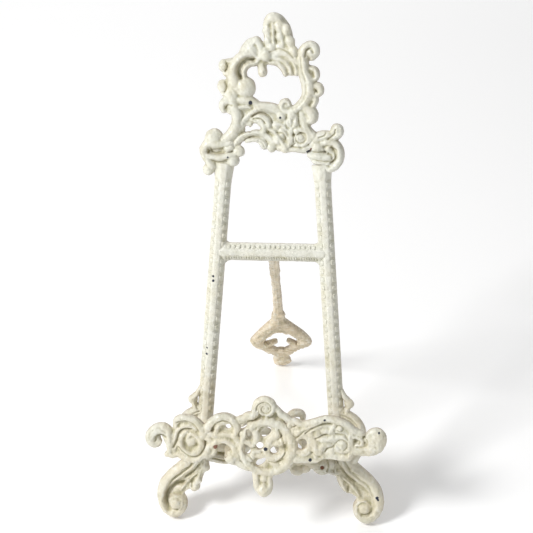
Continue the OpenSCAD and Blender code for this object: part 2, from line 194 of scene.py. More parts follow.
class Relief:
    """Collects closed solids in x, u, d millimetres, then fuses them into one casting."""

    def __init__(self, back=BACK, fat=1.0, lift=1.0):
        self.back, self.fat, self.lift, self.v, self.f, self.n = back, fat, lift, [], [], 0
        self.grooves, self.chips, self.rusts, self.holes = [], [], [], []

    def add(self, v, f):
        """Takes in one closed solid: its points and its faces."""
        self.f += [[i + self.n for i in face] for face in f]
        self.v.append(np.asarray(v, float))
        self.n += len(v)

    def stroke(self, pts, top=6.0, crown="roll", wall=0.3, round_ends=True):
        """A moulded stroke. Rows are x, u, width and, if given, the height of the crown."""
        back = self.back
        pts = [[p[0], p[1], p[2] * self.fat, p[3] if len(p) > 3 else top] for p in pts]
        c = curve(pts)
        tan = np.gradient(c[:, :2], axis=0)
        tan /= np.maximum(np.linalg.norm(tan, axis=1, keepdims=True), 1e-9)
        rings = [(c[i], tan[i], 1.0, 1.0, 0.0) for i in range(len(c))]
        if round_ends:
            def cap(i, sign):
                return [(c[i], tan[i], math.cos(a), 0.45 + 0.55 * math.cos(a), sign * math.sin(a))
                        for a in (0.45, 0.9, 1.25, 1.45)]
            rings = cap(0, -1)[::-1] + rings + cap(-1, 1)
        v, k = [], len(ACROSS_S)
        for row, t, fw, fh, ahead in rings:
            half, high = row[2] / 2, (row[3] - back) * self.lift
            nx = np.array([-t[1], t[0]])
            base = row[:2] + t * ahead * half
            s = base + np.outer(ACROSS_S * half * fw, nx)
            d = back + high * fh * (wall + (1 - wall) * CROWN[crown])
            v += [[*p, q] for p, q in zip(s, d)]
            v += [[*(base + nx * half * fw * 0.97), back], [*(base - nx * half * fw * 0.97), back]]
        m, r = k + 2, len(rings)
        f = []
        for i in range(r - 1):
            for j in range(m):
                a, b = i * m + j, i * m + (j + 1) % m
                f.append([a, b, b + m, a + m])
        for e, flip in ((0, False), ((r - 1) * m, True)):
            loop = [e + j for j in range(m)]
            f.append(loop if not flip else loop[::-1])
        self.add(v, f)
        return self

    def ball(self, x, u, r, d=None, squash=1.0, long=1.0, turn=0.0):
        """A ball bedded in the casting; d is its middle's height, long and turn make it an egg."""
        d = self.back + r * 0.6 if d is None else d
        n, m = 14, 20
        ca, sa = math.cos(math.radians(turn)), math.sin(math.radians(turn))
        v, f = [[x, u, d + r * squash]], []
        for i in range(1, n):
            b = math.pi * i / n
            for j in range(m):
                a = 2 * math.pi * j / m
                p, q = r * math.sin(b) * math.cos(a), r * long * math.sin(b) * math.sin(a)
                v.append([x + ca * p - sa * q, u + sa * p + ca * q,
                          max(d + r * squash * math.cos(b), self.back)])
        v.append([x, u, max(d - r * squash, self.back)])
        for j in range(m):
            f.append([0, 1 + j, 1 + (j + 1) % m])
            f.append([len(v) - 1, 1 + (n - 2) * m + (j + 1) % m, 1 + (n - 2) * m + j])
        for i in range(n - 2):
            for j in range(m):
                a, b = 1 + i * m + j, 1 + i * m + (j + 1) % m
                f.append([a, a + m, b + m, b])
        self.add(v, f)
        return self

    def sheet(self, outline, top, bevel=1.0, smooth=True):
        """A flat sheet with a rounded front edge, from its outline."""
        o = curve(list(outline) + [outline[0]], 1.6)[:-1, :2] if smooth else np.asarray(outline, float)
        if np.sum(o[:, 0] * np.roll(o[:, 1], -1) - np.roll(o[:, 0], -1) * o[:, 1]) < 0:
            o = o[::-1]
        t = np.roll(o, -1, 0) - np.roll(o, 1, 0)
        t /= np.maximum(np.linalg.norm(t, axis=1, keepdims=True), 1e-9)
        inward = np.stack([-t[:, 1], t[:, 0]], 1)
        n, rings = len(o), []
        top -= SINK
        for k, d in ((0, self.back), (0, top - bevel), (0.35 * bevel, top - 0.25 * bevel), (bevel, top)):
            rings.append(np.column_stack([o + inward * k, np.full(n, d)]))
        v = np.concatenate(rings)
        f = [[i * n + j, i * n + (j + 1) % n, (i + 1) * n + (j + 1) % n, (i + 1) * n + j]
             for i in range(3) for j in range(n)]
        f.append(list(range(3 * n, 4 * n)))
        f.append(list(range(n))[::-1])
        self.add(v, f)
        return self

    def groove(self, pts, width=1.1, depth=0.9):
        """A line cut into the finished front."""
        self.grooves.append((curve([list(p[:2]) for p in pts], 0.9)[:, :2], width, depth))
        return self

    def pierce(self, x, u, wide, tall, turn=0.0):
        """An oval hole right through, wide by tall, turned by degrees."""
        self.holes.append((x, u, wide / 2, tall / 2, math.radians(turn)))
        return self

    def rust(self, x, u, r=2.0):
        """A spot of rust on the front."""
        self.rusts.append((x, u, r))
        return self

    def chip(self, x, u, r=1.1):
        """A chip in the paint on the front."""
        self.chips.append((x, u, r))
        return self


class LedgeRelief(Relief):
    """A relief on the ledge's own back."""

    def __init__(self):
        super().__init__(LEDGE_BACK, fat=1.15, lift=1.1)

    def strap(self, pts, **options):
        """A stroke whose crown heights are counted from the ledge's back."""
        rows = [[*p[:3], LEDGE_BACK + p[3]] if len(p) > 3 else [*p, LEDGE_CROWN] for p in pts]
        return self.stroke(rows, **options)


# ---------------------------------------------------------------- finishing a casting
def neighbours_mean(p, e, deg):
    """Mean of each point's neighbours, column by column."""
    s = np.empty_like(p)
    for k in range(p.shape[1]):
        s[:, k] = (np.bincount(e[:, 0], p[e[:, 1], k], len(p))
                   + np.bincount(e[:, 1], p[e[:, 0], k], len(p)))
    return s / deg[:, None]


def smoothed(p, e, deg, times, amount=0.6):
    """Draws each point towards its neighbours, several times."""
    for _ in range(times):
        p = p + amount * (neighbours_mean(p, e, deg) - p)
    return p


def points_of(me):
    """A mesh's points as rows."""
    p = np.empty(len(me.vertices) * 3, np.float32)
    me.vertices.foreach_get("co", p)
    return p.reshape(-1, 3).astype(float)


def move_points(me, p):
    me.vertices.foreach_set("co", p.astype(np.float32).ravel())
    me.update()


def edges_of(me):
    """A mesh's edges as pairs, and how many of them meet at each point."""
    e = np.empty(len(me.edges) * 2, np.int32)
    me.edges.foreach_get("vertices", e)
    e = e.reshape(-1, 2)
    return e, np.maximum(np.bincount(e.ravel(), minlength=len(me.vertices)), 1).astype(float)


def normals_of(me):
    """A mesh's point normals as rows."""
    n = np.empty(len(me.vertices) * 3, np.float32)
    me.vertex_normals.foreach_get("vector", n)
    return n.reshape(-1, 3).astype(float)


def lumps_at(p, scale, seed):
    """Soft unevenness from a few fixed waves."""
    rng = np.random.default_rng(seed)
    out = np.zeros(len(p))
    for k in range(9):
        w = rng.normal(size=3) / scale
        out += np.sin(p @ w + rng.uniform(0, 6.3)) / 3
    return out


def spots(p, n, places):
    """How near each point is to the listed places, on the front."""
    out = np.zeros(len(p))
    for x, u, r in places:
        far = np.hypot(p[:, 0] - x, p[:, 1] - u) / r
        out = np.maximum(out, np.clip(1.6 - far, 0, 1) * (n[:, 2] > 0.05))
    return out


def wear_and_light_marks(me, p, chips=(), rusts=(), extra=0.0):
    """Stores what the paint reads: recesses (for dirt and painted shade), edges (for a painted highlight) and side
    walls (for thin paint and painted shade), and spots of chips and rust.
    """
    e, deg = edges_of(me)
    n = normals_of(me)
    fine = np.einsum("ij,ij->i", smoothed(p, e, deg, 5) - p, n)
    broad = np.einsum("ij,ij->i", smoothed(p, e, deg, 45) - p, n)
    # Recess darkness: partly real dirt, partly painted shade.
    recess = np.clip(fine * 2.4 + broad * 0.9 + extra, 0, 1)
    # Ridges: marked for the painted highlight on the edges.
    edge = np.clip(-fine * 2.6 - broad * 0.15 - 0.04, 0, 1)
    # Side walls and backs: marked for thin paint and painted shade.
    side = np.clip(1 - n[:, 2] * 1.4, 0, 1) ** 2
    soft = smoothed(np.stack([recess, edge, side, np.ones(len(p))], 1), e, deg, 1, 0.5)
    a = me.color_attributes.new("wear_and_light", "FLOAT_COLOR", "POINT")
    a.data.foreach_set("color", soft.astype(np.float32).ravel())
    for name, places in (("chip", chips), ("rust", rusts)):
        a = me.attributes.new(name, "FLOAT", "POINT")
        a.data.foreach_set("value", spots(p, n, places).astype(np.float32))


def mesh_object(name, v, f):
    """A new object in the scene, from points and faces."""
    me = bpy.data.meshes.new(name)
    me.from_pydata([tuple(x) for x in v], [], [tuple(x) for x in f])
    me.update()
    ob = bpy.data.objects.new(name, me)
    bpy.context.scene.collection.objects.link(ob)
    return ob


def hole_cutter(relief):
    """The ovals that pierce a casting, wider at the front as cast holes are."""
    v, f = [], []
    for x, u, a, b, turn in relief.holes:
        n, k = 20, len(v)
        for d, grow in ((relief.back - 2, 1.0), (relief.back + 3, 1.0), (relief.back + 14, 1.9)):
            for j in range(n):
                t = 2 * math.pi * j / n
                p, q = a * grow * math.cos(t), b * grow * math.sin(t)
                v.append([x + p * math.cos(turn) - q * math.sin(turn),
                          u + p * math.sin(turn) + q * math.cos(turn), d])
        f += [[k + i * n + j, k + i * n + (j + 1) % n, k + (i + 1) * n + (j + 1) % n, k + (i + 1) * n + j]
              for i in range(2) for j in range(n)]
        f += [[k + j for j in range(n)][::-1], [k + 2 * n + j for j in range(n)]]
    return mesh_object("holes", v, f)


def add_voxels(ob, label, grain):
    """Fuses an object's overlapping solids into one skin."""
    m = ob.modifiers.new(label, "REMESH")
    m.mode, m.voxel_size, m.use_smooth_shade = "VOXEL", grain, True


def apply_modifiers(ob):
    """Puts what the modifiers make in place of the object's mesh."""
    made = bpy.data.meshes.new_from_object(ob.evaluated_get(bpy.context.evaluated_depsgraph_get()))
    old, name = ob.data, ob.data.name
    ob.modifiers.clear()
    ob.data = made
    bpy.data.meshes.remove(old)
    made.name = name
    return made


def cut_grooves(p, facing, grooves):
    """Sinks the points near each line, where the casting faces forwards."""
    for line, width, depth in grooves:
        low, high = line.min(axis=0) - 3 * width, line.max(axis=0) + 3 * width
        near = np.where((p[:, :2] > low).all(axis=1) & (p[:, :2] < high).all(axis=1) & (facing > 0))[0]
        if not len(near):
            continue
        best = np.full(len(near), 1e9)
        q = p[near, :2]
        for a, b in zip(line[:-1], line[1:]):
            ab = b - a
            t = np.clip(((q - a) @ ab) / max(ab @ ab, 1e-9), 0, 1)
            best = np.minimum(best, np.hypot(*(q - a - t[:, None] * ab).T))
        p[near, 2] -= depth * facing[near] * np.exp(-(best / (width * 0.6)) ** 2)


def fuse(relief, name, placing=place, soft=3, lump=1.0, seed=1):
    """Fuses a relief's strokes into one casting, cuts its grooves and puts it in place."""
    grain = sizes().grain * 1000
    ob = mesh_object(name, np.concatenate(relief.v), relief.f)
    add_voxels(ob, "Fuse", grain)
    cutter = hole_cutter(relief) if relief.holes else None
    if cutter:
        m = ob.modifiers.new("Pierce", "BOOLEAN")
        m.operation, m.object, m.solver = "DIFFERENCE", cutter, "EXACT"
        add_voxels(ob, "Fuse again", grain)
    me = apply_modifiers(ob)
    if cutter:
        bpy.data.objects.remove(cutter)
    e, deg = edges_of(me)
    p = smoothed(points_of(me), e, deg, soft, sizes().softness)
    move_points(me, p)
    n = normals_of(me)
    cut_grooves(p, np.clip(n[:, 2] * 2, 0, 1), relief.grooves)
    front = np.clip((p[:, 2] - relief.back) / 3, 0, 1)
    lumps = lumps_at(p, 0.55, seed) * 0.4 + lumps_at(p, 1.5, seed) * 0.7 + lumps_at(p, 5.5, seed + 7)
    p += n * lumps[:, None] * (sizes().lumps * 1000 * lump * front)[:, None]
    p[:, 2] = np.maximum(p[:, 2], relief.back)
    move_points(me, p)
    wear_and_light_marks(me, p, relief.chips, relief.rusts)
    return settle(ob, p, placing)


# ---------------------------------------------------------------- paint
def node(tree, kind, **values):
    """A new node with some of its settings."""
    n = tree.nodes.new(kind)
    for k, v in values.items():
        setattr(n, k, v)
    return n


def named_group(name, inputs, outputs):
    """A new shader group with named sockets: (name, type, default) rows."""
    g = bpy.data.node_groups.new(name, "ShaderNodeTree")
    for label, kind, default in inputs:
        s = g.interface.new_socket(name=label, in_out="INPUT", socket_type="NodeSocket" + kind)
        if default is not None:
            s.default_value = default
    for label, kind in outputs:
        g.interface.new_socket(name=label, in_out="OUTPUT", socket_type="NodeSocket" + kind)
    return g, node(g, "NodeGroupInput").outputs, node(g, "NodeGroupOutput").inputs


def math_node(g, op, a, b=None, c=None, clamp=False):
    """A sum; each of a, b and c is a number or a socket."""
    n = node(g, "ShaderNodeMath", operation=op, use_clamp=clamp)
    for i, v in enumerate((a, b, c)):
        if v is None:
            continue
        if isinstance(v, (int, float)):
            n.inputs[i].default_value = v
        else:
            g.links.new(v, n.inputs[i])
    return n.outputs[0]


def noise(g, vector, scale, detail=3.0, rough=0.55, distort=0.0):
    """Noise whose scale is in cells to the metre."""
    n = node(g, "ShaderNodeTexNoise")
    n.inputs["Scale"].default_value = scale
    n.inputs["Detail"].default_value = detail
    n.inputs["Roughness"].default_value = rough
    n.inputs["Distortion"].default_value = distort
    g.links.new(vector, n.inputs["Vector"])
    return n.outputs["Fac"]


def remap(g, v, lo, hi, to_lo=0.0, to_hi=1.0):
    """Eases a value from one range to another."""
    n = node(g, "ShaderNodeMapRange", interpolation_type="SMOOTHSTEP")
    for i, x in enumerate((lo, hi, to_lo, to_hi)):
        n.inputs[i + 1].default_value = x
    g.links.new(v, n.inputs[0])
    return n.outputs[0]


def mix_colour(g, fac, a, b):
    """Colour a turning into colour b as the factor rises."""
    n = node(g, "ShaderNodeMix", data_type="RGBA")
    for sock, v in ((n.inputs[0], fac), (n.inputs[6], a), (n.inputs[7], b)):
        if isinstance(v, (int, float)):
            sock.default_value = v
        elif isinstance(v, (tuple, list)):
            sock.default_value = (*v[:3], 1)
        else:
            g.links.new(v, sock)
    return n.outputs[2]


FRESH_PAINT = (0.90, 0.89, 0.82)    # patches that the dirt has missed
PAINTED_EDGE_HIGHLIGHT = (0.93, 0.91, 0.84)    # painted highlight on the edges
SHADED_APRON_PAINT = (0.62, 0.63, 0.55)    # greyer, duller paint behind the ledge: painted shade
BACK_PAINT = (0.60, 0.555, 0.45)    # thin paint on arms and ears
LEG_STAIN = (0.70, 0.57, 0.38)
OLD_RUST = (0.10, 0.055, 0.035)
PAINT_DEPTH = 0.0006                # metres between the paint's hollows and its humps


def masks_group():
    """The masks that a casting carries, broken up by noise."""
    g, i, o = named_group("Wear and light masks", [("Vector", "Vector", None), ("Breakup", "Float", 0.5)],
                          [("Recess", "Float"), ("Edge", "Float"), ("Side", "Float"), ("Chip", "Float"),
                           ("Rust", "Float")])
    att = node(g, "ShaderNodeAttribute", attribute_name="wear_and_light")
    sep = node(g, "ShaderNodeSeparateColor")
    g.links.new(att.outputs["Color"], sep.inputs[0])
    cloud = noise(g, i["Vector"], 260, 4)
    speck = noise(g, i["Vector"], 1500, 3)
    swing = math_node(g, "MULTIPLY_ADD", cloud, i["Breakup"], 0.5)
    g.links.new(math_node(g, "MULTIPLY", sep.outputs[0], swing, clamp=True), o["Recess"])
    g.links.new(math_node(g, "MULTIPLY", sep.outputs[1], swing, clamp=True), o["Edge"])
    g.links.new(math_node(g, "MULTIPLY", sep.outputs[2], swing, clamp=True), o["Side"])
    for label in ("chip", "rust"):
        spot = node(g, "ShaderNodeAttribute", attribute_name=label).outputs["Fac"]
        ragged = math_node(g, "ADD", spot, math_node(g, "MULTIPLY", speck, 0.7))
        g.links.new(remap(g, ragged, 0.86, 1.0), o[label.capitalize()])
    return g


def paint_group():
    """Thick old paint: base colour with clouding, grime and painted shade in the recesses, brown side walls that
    are partly thin paint and partly painted shade, a painted highlight on the edges, specks and chips.
    """
    g, i, o = named_group("Old paint", [("Vector", "Vector", None), ("Paint", "Color", (1, 1, 1, 1)),
                                        ("Grime", "Color", (0, 0, 0, 1)), ("Stain", "Color", (1, 1, 1, 1)),
                                        ("Rim", "Color", (0, 0, 0, 1)), ("Iron", "Color", (0, 0, 0, 1)),
                                        ("Recess", "Float", 0.0), ("Rust colour", "Color", (0, 0, 0, 1)),
                                        ("Edge", "Float", 0.0), ("Side", "Float", 0.0),
                                        ("Chip", "Float", 0.0), ("Rust", "Float", 0.0),
                                        ("Grime amount", "Float", 0.8), ("Speck amount", "Float", 0.5)],
                          [("Color", "Color"), ("Roughness", "Float")])
    cloud = noise(g, i["Vector"], 34, 4, 0.6)
    patch = noise(g, i["Vector"], 120, 5, 0.6, 0.6)
    col = mix_colour(g, remap(g, cloud, 0.38, 0.68, 0.0, 0.45), i["Paint"], i["Stain"])
    where = node(g, "ShaderNodeSeparateXYZ")
    g.links.new(i["Vector"], where.inputs[0])
    low = math_node(g, "MULTIPLY", remap(g, where.outputs[2], 0.17, 0.06),
                    remap(g, cloud, 0.3, 0.65, 0.25, 0.8))
    col = mix_colour(g, low, col, i["Stain"])
    col = mix_colour(g, remap(g, patch, 0.45, 0.70, 0.0, 0.40), col, i["Grime"])
    bright = noise(g, i["Vector"], 210, 4, 0.6, 0.3)
    col = mix_colour(g, remap(g, bright, 0.5, 0.7, 0.0, 0.55), col, FRESH_PAINT)
    # Recesses darken towards the grime colour: partly real dirt, partly painted shade.
    dirt_and_shade = math_node(g, "MULTIPLY", i["Recess"], i["Grime amount"], clamp=True)
    col = mix_colour(g, dirt_and_shade, col, i["Grime"])
    # Side walls and backs turn rim brown: partly thin paint, partly painted shade.
    worn_and_shaded = math_node(g, "MULTIPLY", i["Side"], remap(g, patch, 0.36, 0.6, 0.45, 0.9))
    col = mix_colour(g, worn_and_shaded, col, i["Rim"])
    # Convex edges lighten towards near white: painted highlight.
    col = mix_colour(g, math_node(g, "MULTIPLY", i["Edge"], 0.35), col, PAINTED_EDGE_HIGHLIGHT)
    dots = noise(g, i["Vector"], 900, 2)
    dots = math_node(g, "MULTIPLY", remap(g, dots, 0.70, 0.76), i["Speck amount"], clamp=True)
    col = mix_colour(g, math_node(g, "MULTIPLY", dots, 0.8), col, i["Rim"])
    col = mix_colour(g, math_node(g, "MULTIPLY", i["Rust"], 0.9), col, i["Rust colour"])
    col = mix_colour(g, i["Chip"], col, i["Iron"])
    g.links.new(col, o["Color"])
    rough = math_node(g, "MULTIPLY_ADD", patch, 0.35, 0.24)
    rough = math_node(g, "ADD", rough, math_node(g, "MULTIPLY", dirt_and_shade, 0.25))
    g.links.new(math_node(g, "ADD", rough, math_node(g, "MULTIPLY", i["Side"], 0.15), clamp=True),
                o["Roughness"])
    return g


def relief_group():
    """Height of brushed, lumpy paint over sand-cast iron, less where it has chipped."""
    g, i, o = named_group("Paint relief",
                          [("Vector", "Vector", None), ("Sand", "Float", 0.4), ("Brush", "Float", 0.5),
                           ("Chip", "Float", 0.0)], [("Height", "Float")])
    sand = math_node(g, "MULTIPLY", noise(g, i["Vector"], 1900, 4, 0.65), i["Sand"])
    brush = math_node(g, "MULTIPLY", noise(g, i["Vector"], 420, 3, 0.5, 0.4), i["Brush"])
    h = math_node(g, "ADD", sand, brush)
    g.links.new(math_node(g, "SUBTRACT", h, math_node(g, "MULTIPLY", i["Chip"], 1.2)), o["Height"])
    return g


def use_group(tree, group, links=(), **values):
    """A group in a tree, with its inputs linked or set; a name's underscores stand for spaces."""
    n = node(tree, "ShaderNodeGroup", node_tree=group)
    for k, v in values.items():
        n.inputs[k.replace("_", " ")].default_value = (*v[:3], 1) if isinstance(v, (tuple, list)) else v
    for source, target in links:
        tree.links.new(source, n.inputs[target])
    return n.outputs


def bumped(tree, height, strength):
    """The normal of a surface that the height raises."""
    b = node(tree, "ShaderNodeBump")
    b.inputs["Strength"].default_value = strength
    b.inputs["Distance"].default_value = PAINT_DEPTH
    tree.links.new(height, b.inputs["Height"])
    return b.outputs["Normal"]


GROUPS = {}


def groups():
    """The three shader groups, made once."""
    if not GROUPS:
        GROUPS.update(masks=masks_group(), paint=paint_group(), relief=relief_group())
    return GROUPS


def painted(name, paint, stain, grime_and_shade_amount=0.8, speck=0.5, sand=0.8, brush=1.0, coat=0.4, bump=1.0):
    """Old paint over cast iron, in the given colours."""
    if name in bpy.data.materials:
        return bpy.data.materials[name]
    c, gr = colours(), groups()
    mat = bpy.data.materials.new(name)
    mat.use_nodes = True
    t = mat.node_tree
    bsdf = t.nodes["Principled BSDF"]
    where = node(t, "ShaderNodeTexCoord").outputs["Object"]
    m = use_group(t, gr["masks"], [(where, "Vector")], Breakup=1.0)
    p = use_group(t, gr["paint"], [(where, "Vector"), (m["Recess"], "Recess"), (m["Edge"], "Edge"),
                                   (m["Side"], "Side"), (m["Chip"], "Chip"), (m["Rust"], "Rust")],
                  Paint=tuple(paint), Grime=tuple(c.grime_and_shade), Stain=tuple(stain), Rim=tuple(c.rim),
                  Iron=tuple(c.iron), Rust_colour=tuple(c.rust), Grime_amount=grime_and_shade_amount,
                  Speck_amount=speck)
    h = use_group(t, gr["relief"], [(where, "Vector"), (m["Chip"], "Chip")], Sand=sand, Brush=brush)
    t.links.new(p["Color"], bsdf.inputs["Base Color"])
    t.links.new(p["Roughness"], bsdf.inputs["Roughness"])
    t.links.new(bumped(t, h["Height"], bump), bsdf.inputs["Normal"])
    bsdf.inputs["Coat Weight"].default_value = coat
    bsdf.inputs["Coat Roughness"].default_value = 0.2
    bsdf.inputs["Specular IOR Level"].default_value = 0.45
    return mat


def cream_paint():
    return painted("aged_cream_paint", colours().paint, colours().stain)


# Painted shade: the apron behind the ledge gets a greyer copy of the paint.
def shaded_apron_paint():
    return painted("apron_in_painted_shade", SHADED_APRON_PAINT, colours().stain, grime_and_shade_amount=1.0)


def back_paint():
    return painted("worn_back_paint", BACK_PAINT, colours().stain)


def leg_paint():
    return painted("rough_beige_paint", colours().leg, LEG_STAIN, grime_and_shade_amount=0.55, speck=0.8, sand=0.9,
                   brush=0.8, coat=0.0, bump=0.5)


def rusty_steel():
    """Rusted screw steel with remains of cream paint."""
    if "flaking_rust" in bpy.data.materials:
        return bpy.data.materials["flaking_rust"]
    c, gr = colours(), groups()
    mat = bpy.data.materials.new("flaking_rust")
    mat.use_nodes = True
    t = mat.node_tree
    bsdf = t.nodes["Principled BSDF"]
    where = node(t, "ShaderNodeTexCoord").outputs["Object"]
    blotch = noise(t, where, 420, 5, 0.6)
    base = mix_colour(t, remap(t, blotch, 0.4, 0.62), tuple(c.rust), OLD_RUST)
    flakes = noise(t, where, 800, 3)
    base = mix_colour(t, remap(t, flakes, 0.56, 0.6, 0.0, 0.7), base, tuple(c.paint))
    t.links.new(base, bsdf.inputs["Base Color"])
    t.links.new(remap(t, blotch, 0.3, 0.7, 0.55, 0.85), bsdf.inputs["Roughness"])
    t.links.new(remap(t, blotch, 0.55, 0.7, 0.0, 0.35), bsdf.inputs["Metallic"])
    h = use_group(t, gr["relief"], [(where, "Vector")], Sand=1.0, Brush=0.6)
    t.links.new(bumped(t, h["Height"], 0.6), bsdf.inputs["Normal"])
    return mat


def finish_piece(ob, mat, body, slot, *replaced):
    """Paints a piece and says what it rides on and which plain parts it replaces."""
    ob.data.materials.clear()
    ob.data.materials.append(mat)
    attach(ob, body)
    if replaced:
        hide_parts(*replaced)
    return ob


# ---------------------------------------------------------------- the main casting
def crest_plume(r):
    """Plume of leaves at the top."""
    r.stroke([[-5.5, 397, 5, 4], [-3, 400.8, 7, 5], [2, 400.8, 7, 5], [5, 397.6, 5, 4.5]], crown="roll")
    r.ball(-1, 400.5, 5, 0.5, 0.9)
    r.stroke([[4, 400.5, 6, 5], [8, 394.5, 7, 5], [10.5, 386, 7, 5], [13, 377, 6, 4.5], [15.5, 371, 5, 4]],
             crown="ridge")
    r.stroke([[3, 398, 6, 4.5], [5, 391, 7, 5], [6.5, 383, 7, 4.8], [8, 375, 7, 4]], crown="ridge")
    r.stroke([[-1, 398, 6, 4.5], [-0.5, 390, 6, 4.6], [0, 382, 6, 4.4], [1, 374, 6, 4]], crown="ridge")
    r.stroke([[-5, 393, 6, 4.5], [-4.5, 386, 5, 4], [-3.5, 380, 6, 4]])
    r.ball(-5.2, 392, 3.9, 1.2)
    r.sheet([[-6, 376], [-6, 396], [0, 401], [6, 397], [11, 388], [15, 375], [10, 370], [0, 370]], 4.2)
    r.groove([[1.6, 396], [1.2, 390], [1.8, 384]], 1.2, 0.7)
    for x, u, size, high in ((9.2, 393, 3.8, 3.4), (12.2, 384.6, 3.6, 3.2), (14.4, 376.6, 3.8, 2.6),
                             (3.8, 395, 3.4, 3.6), (-4.6, 385, 3.2, 2.6), (-1.8, 379.4, 3.4, 2.6),
                             (4.6, 388, 3.0, 3.2), (5, 379.6, 3.2, 2.8), (9.4, 376, 3.4, 2.8),
                             (0.8, 373.6, 3.2, 2.6)):
        r.ball(x, u, size, high, 1.0, 1.3, 15)


def crest_arch(r):
    """Leaf left of the plume, egg, drop and shell below it."""
    r.stroke([[-26, 367, 6, 4], [-22, 374, 9, 5], [-17, 381, 10, 5.5], [-13.5, 384, 7, 5]], crown="ridge")
    r.stroke([[-13.5, 384.5, 6, 4.8], [-10.5, 380.5, 6, 5], [-10, 374, 5.5, 4.5], [-12.5, 369, 5, 4]])
    r.ball(-14, 383.5, 3.7, 1.6)
    r.sheet([[-28, 366], [-20, 381], [-12, 384], [-9, 376], [-10, 368], [-20, 368]], 4.4)
    r.ball(-16.4, 378.4, 4.4, 2.4, 1.0, 1.3, 40).ball(-20.6, 372.8, 3.8, 2.2)
    r.ball(-6, 374.4, 4.7, 3.2, 1.0, 1.22, 10)
    r.stroke([[-9.5, 369, 5, 3], [-8.6, 364, 6, 4], [-8.3, 361, 6, 4.5]])
    r.ball(-8.4, 361, 3.7, 1.0)
    r.stroke([[-2, 373, 6, 4.4], [5, 376, 7, 5], [12, 374, 7, 5], [17.6, 368, 6, 4.6]])
    r.stroke([[-2.6, 368.6, 3.6, 4.2], [3.4, 367.8, 4, 4.8], [7.6, 363.6, 4.2, 5], [8.8, 360, 3.4, 4.4]])
    r.stroke([[0, 372, 3.6, 4.4], [7, 370.4, 4, 5], [11.6, 365.8, 4.2, 5], [13, 361, 3.6, 4.4]])
    r.stroke([[9, 372.6, 3.6, 4.4], [14, 369.6, 4, 4.8], [16.8, 364.8, 4, 4.8], [17.2, 361, 3.4, 4.2]])
    r.sheet([[-6, 367], [-4, 378], [4, 380], [13, 378], [20, 368], [19, 360], [9, 360], [3, 366]], 2.6 + SINK)
    r.groove([[-3, 376.5], [4, 379], [11, 376.5], [15, 372]], 1.1, 1.0)


def crest_left_scroll(r):
    """Left C-scroll with its knobs and rolled ball."""
    r.stroke([[-14, 373.5, 5, 4.5], [-20.5, 373.8, 7, 6], [-26.5, 369.5, 8, 6.5], [-30, 362, 9, 6.5],
              [-30, 353, 9, 6], [-31, 344, 10, 6], [-30, 336, 8, 5.5], [-27.6, 328, 7, 5.5],
              [-28.2, 321, 7, 5.5], [-32, 314, 7, 5], [-38, 309.5, 7, 4.5]])
    r.stroke([[-14.5, 367.6, 3.5, 4.6], [-19, 367, 4.5, 5.2], [-22.6, 362.6, 4.5, 5.2],
              [-22.6, 357.8, 4.5, 5]])
    r.groove([[-15.5, 371.3], [-20.5, 371], [-25.2, 366.8], [-26.6, 361.2], [-24.6, 356.8]], 2.7, 4.2)
    r.sheet([[-33, 366], [-24, 372], [-18, 368], [-24, 360], [-22, 354], [-19, 350], [-19, 344], [-12, 338],
             [-26, 334], [-34, 340], [-33, 352]], 2.5)
    r.ball(-21.2, 349.4, 8.0, 1.2, 0.95)
    r.stroke([[-32, 357, 7, 5], [-28.6, 351, 8, 6], [-23, 347.6, 8, 6.6]])
    r.sheet([[-28, 336], [-27, 323], [-21, 324], [-14, 331], [-12, 338], [-20, 337]], 3.4)
    r.pierce(-19, 318.8, 3.6, 5.6, 60)
    r.stroke([[-10.6, 324, 4, 4], [-6.6, 320.6, 5, 5], [-7.4, 316.6, 4.4, 4.6]])
    r.stroke([[-29, 356, 6, 4.5], [-24, 354.5, 7, 5.5], [-18.5, 352.5, 7, 5.6], [-16.5, 347.5, 5, 5]])
    for x, u, s in ((-37.6, 366, 4.4), (-37.8, 350.6, 4.6)):
        r.ball(x, u, s, 0.6, 0.95, 1.15)
        r.groove([[x + 1.6, u + 3.2], [x + 2.8, u], [x + 1.2, u - 4.2]], 1.3, 1.4)
    r.stroke([[-32, 369, 5, 4], [-35.5, 369, 4, 4]], crown="ridge")
    r.stroke([[-30, 340, 6, 4], [-35.5, 339.6, 6.4, 5], [-39, 336.4, 5, 4.6], [-37.6, 332.6, 4, 3.6]])
    r.stroke([[-29, 333, 5, 3.6], [-33, 331.6, 4, 3.6]])
    r.groove([[-31, 336.6], [-34.6, 336.6], [-36.4, 334]], 1.2, 1.2)
    r.stroke([[-28, 340.5, 7, 5], [-21.5, 340.8, 7.5, 5.8], [-14.5, 339, 5, 4.6], [-11, 337.4, 3, 3.6]])
    r.stroke([[-27.5, 334.8, 4, 4.4], [-21, 335.4, 3.4, 4.4], [-17, 335, 2.6, 4]])
    r.chip(-17, 338.6, 1.5)
    r.sheet([[-33, 370], [-38, 370], [-41, 366], [-37, 361], [-36, 355], [-40, 352], [-40, 347], [-35, 344],
             [-37, 340], [-38, 334], [-31, 332], [-30, 350]], 2.4 + SINK)
    r.stroke([[-32, 362, 5, 4], [-36, 360.4, 4.6, 3.6]]).stroke([[-33, 345.6, 5, 4], [-37.6, 345.4, 4, 3.4]])


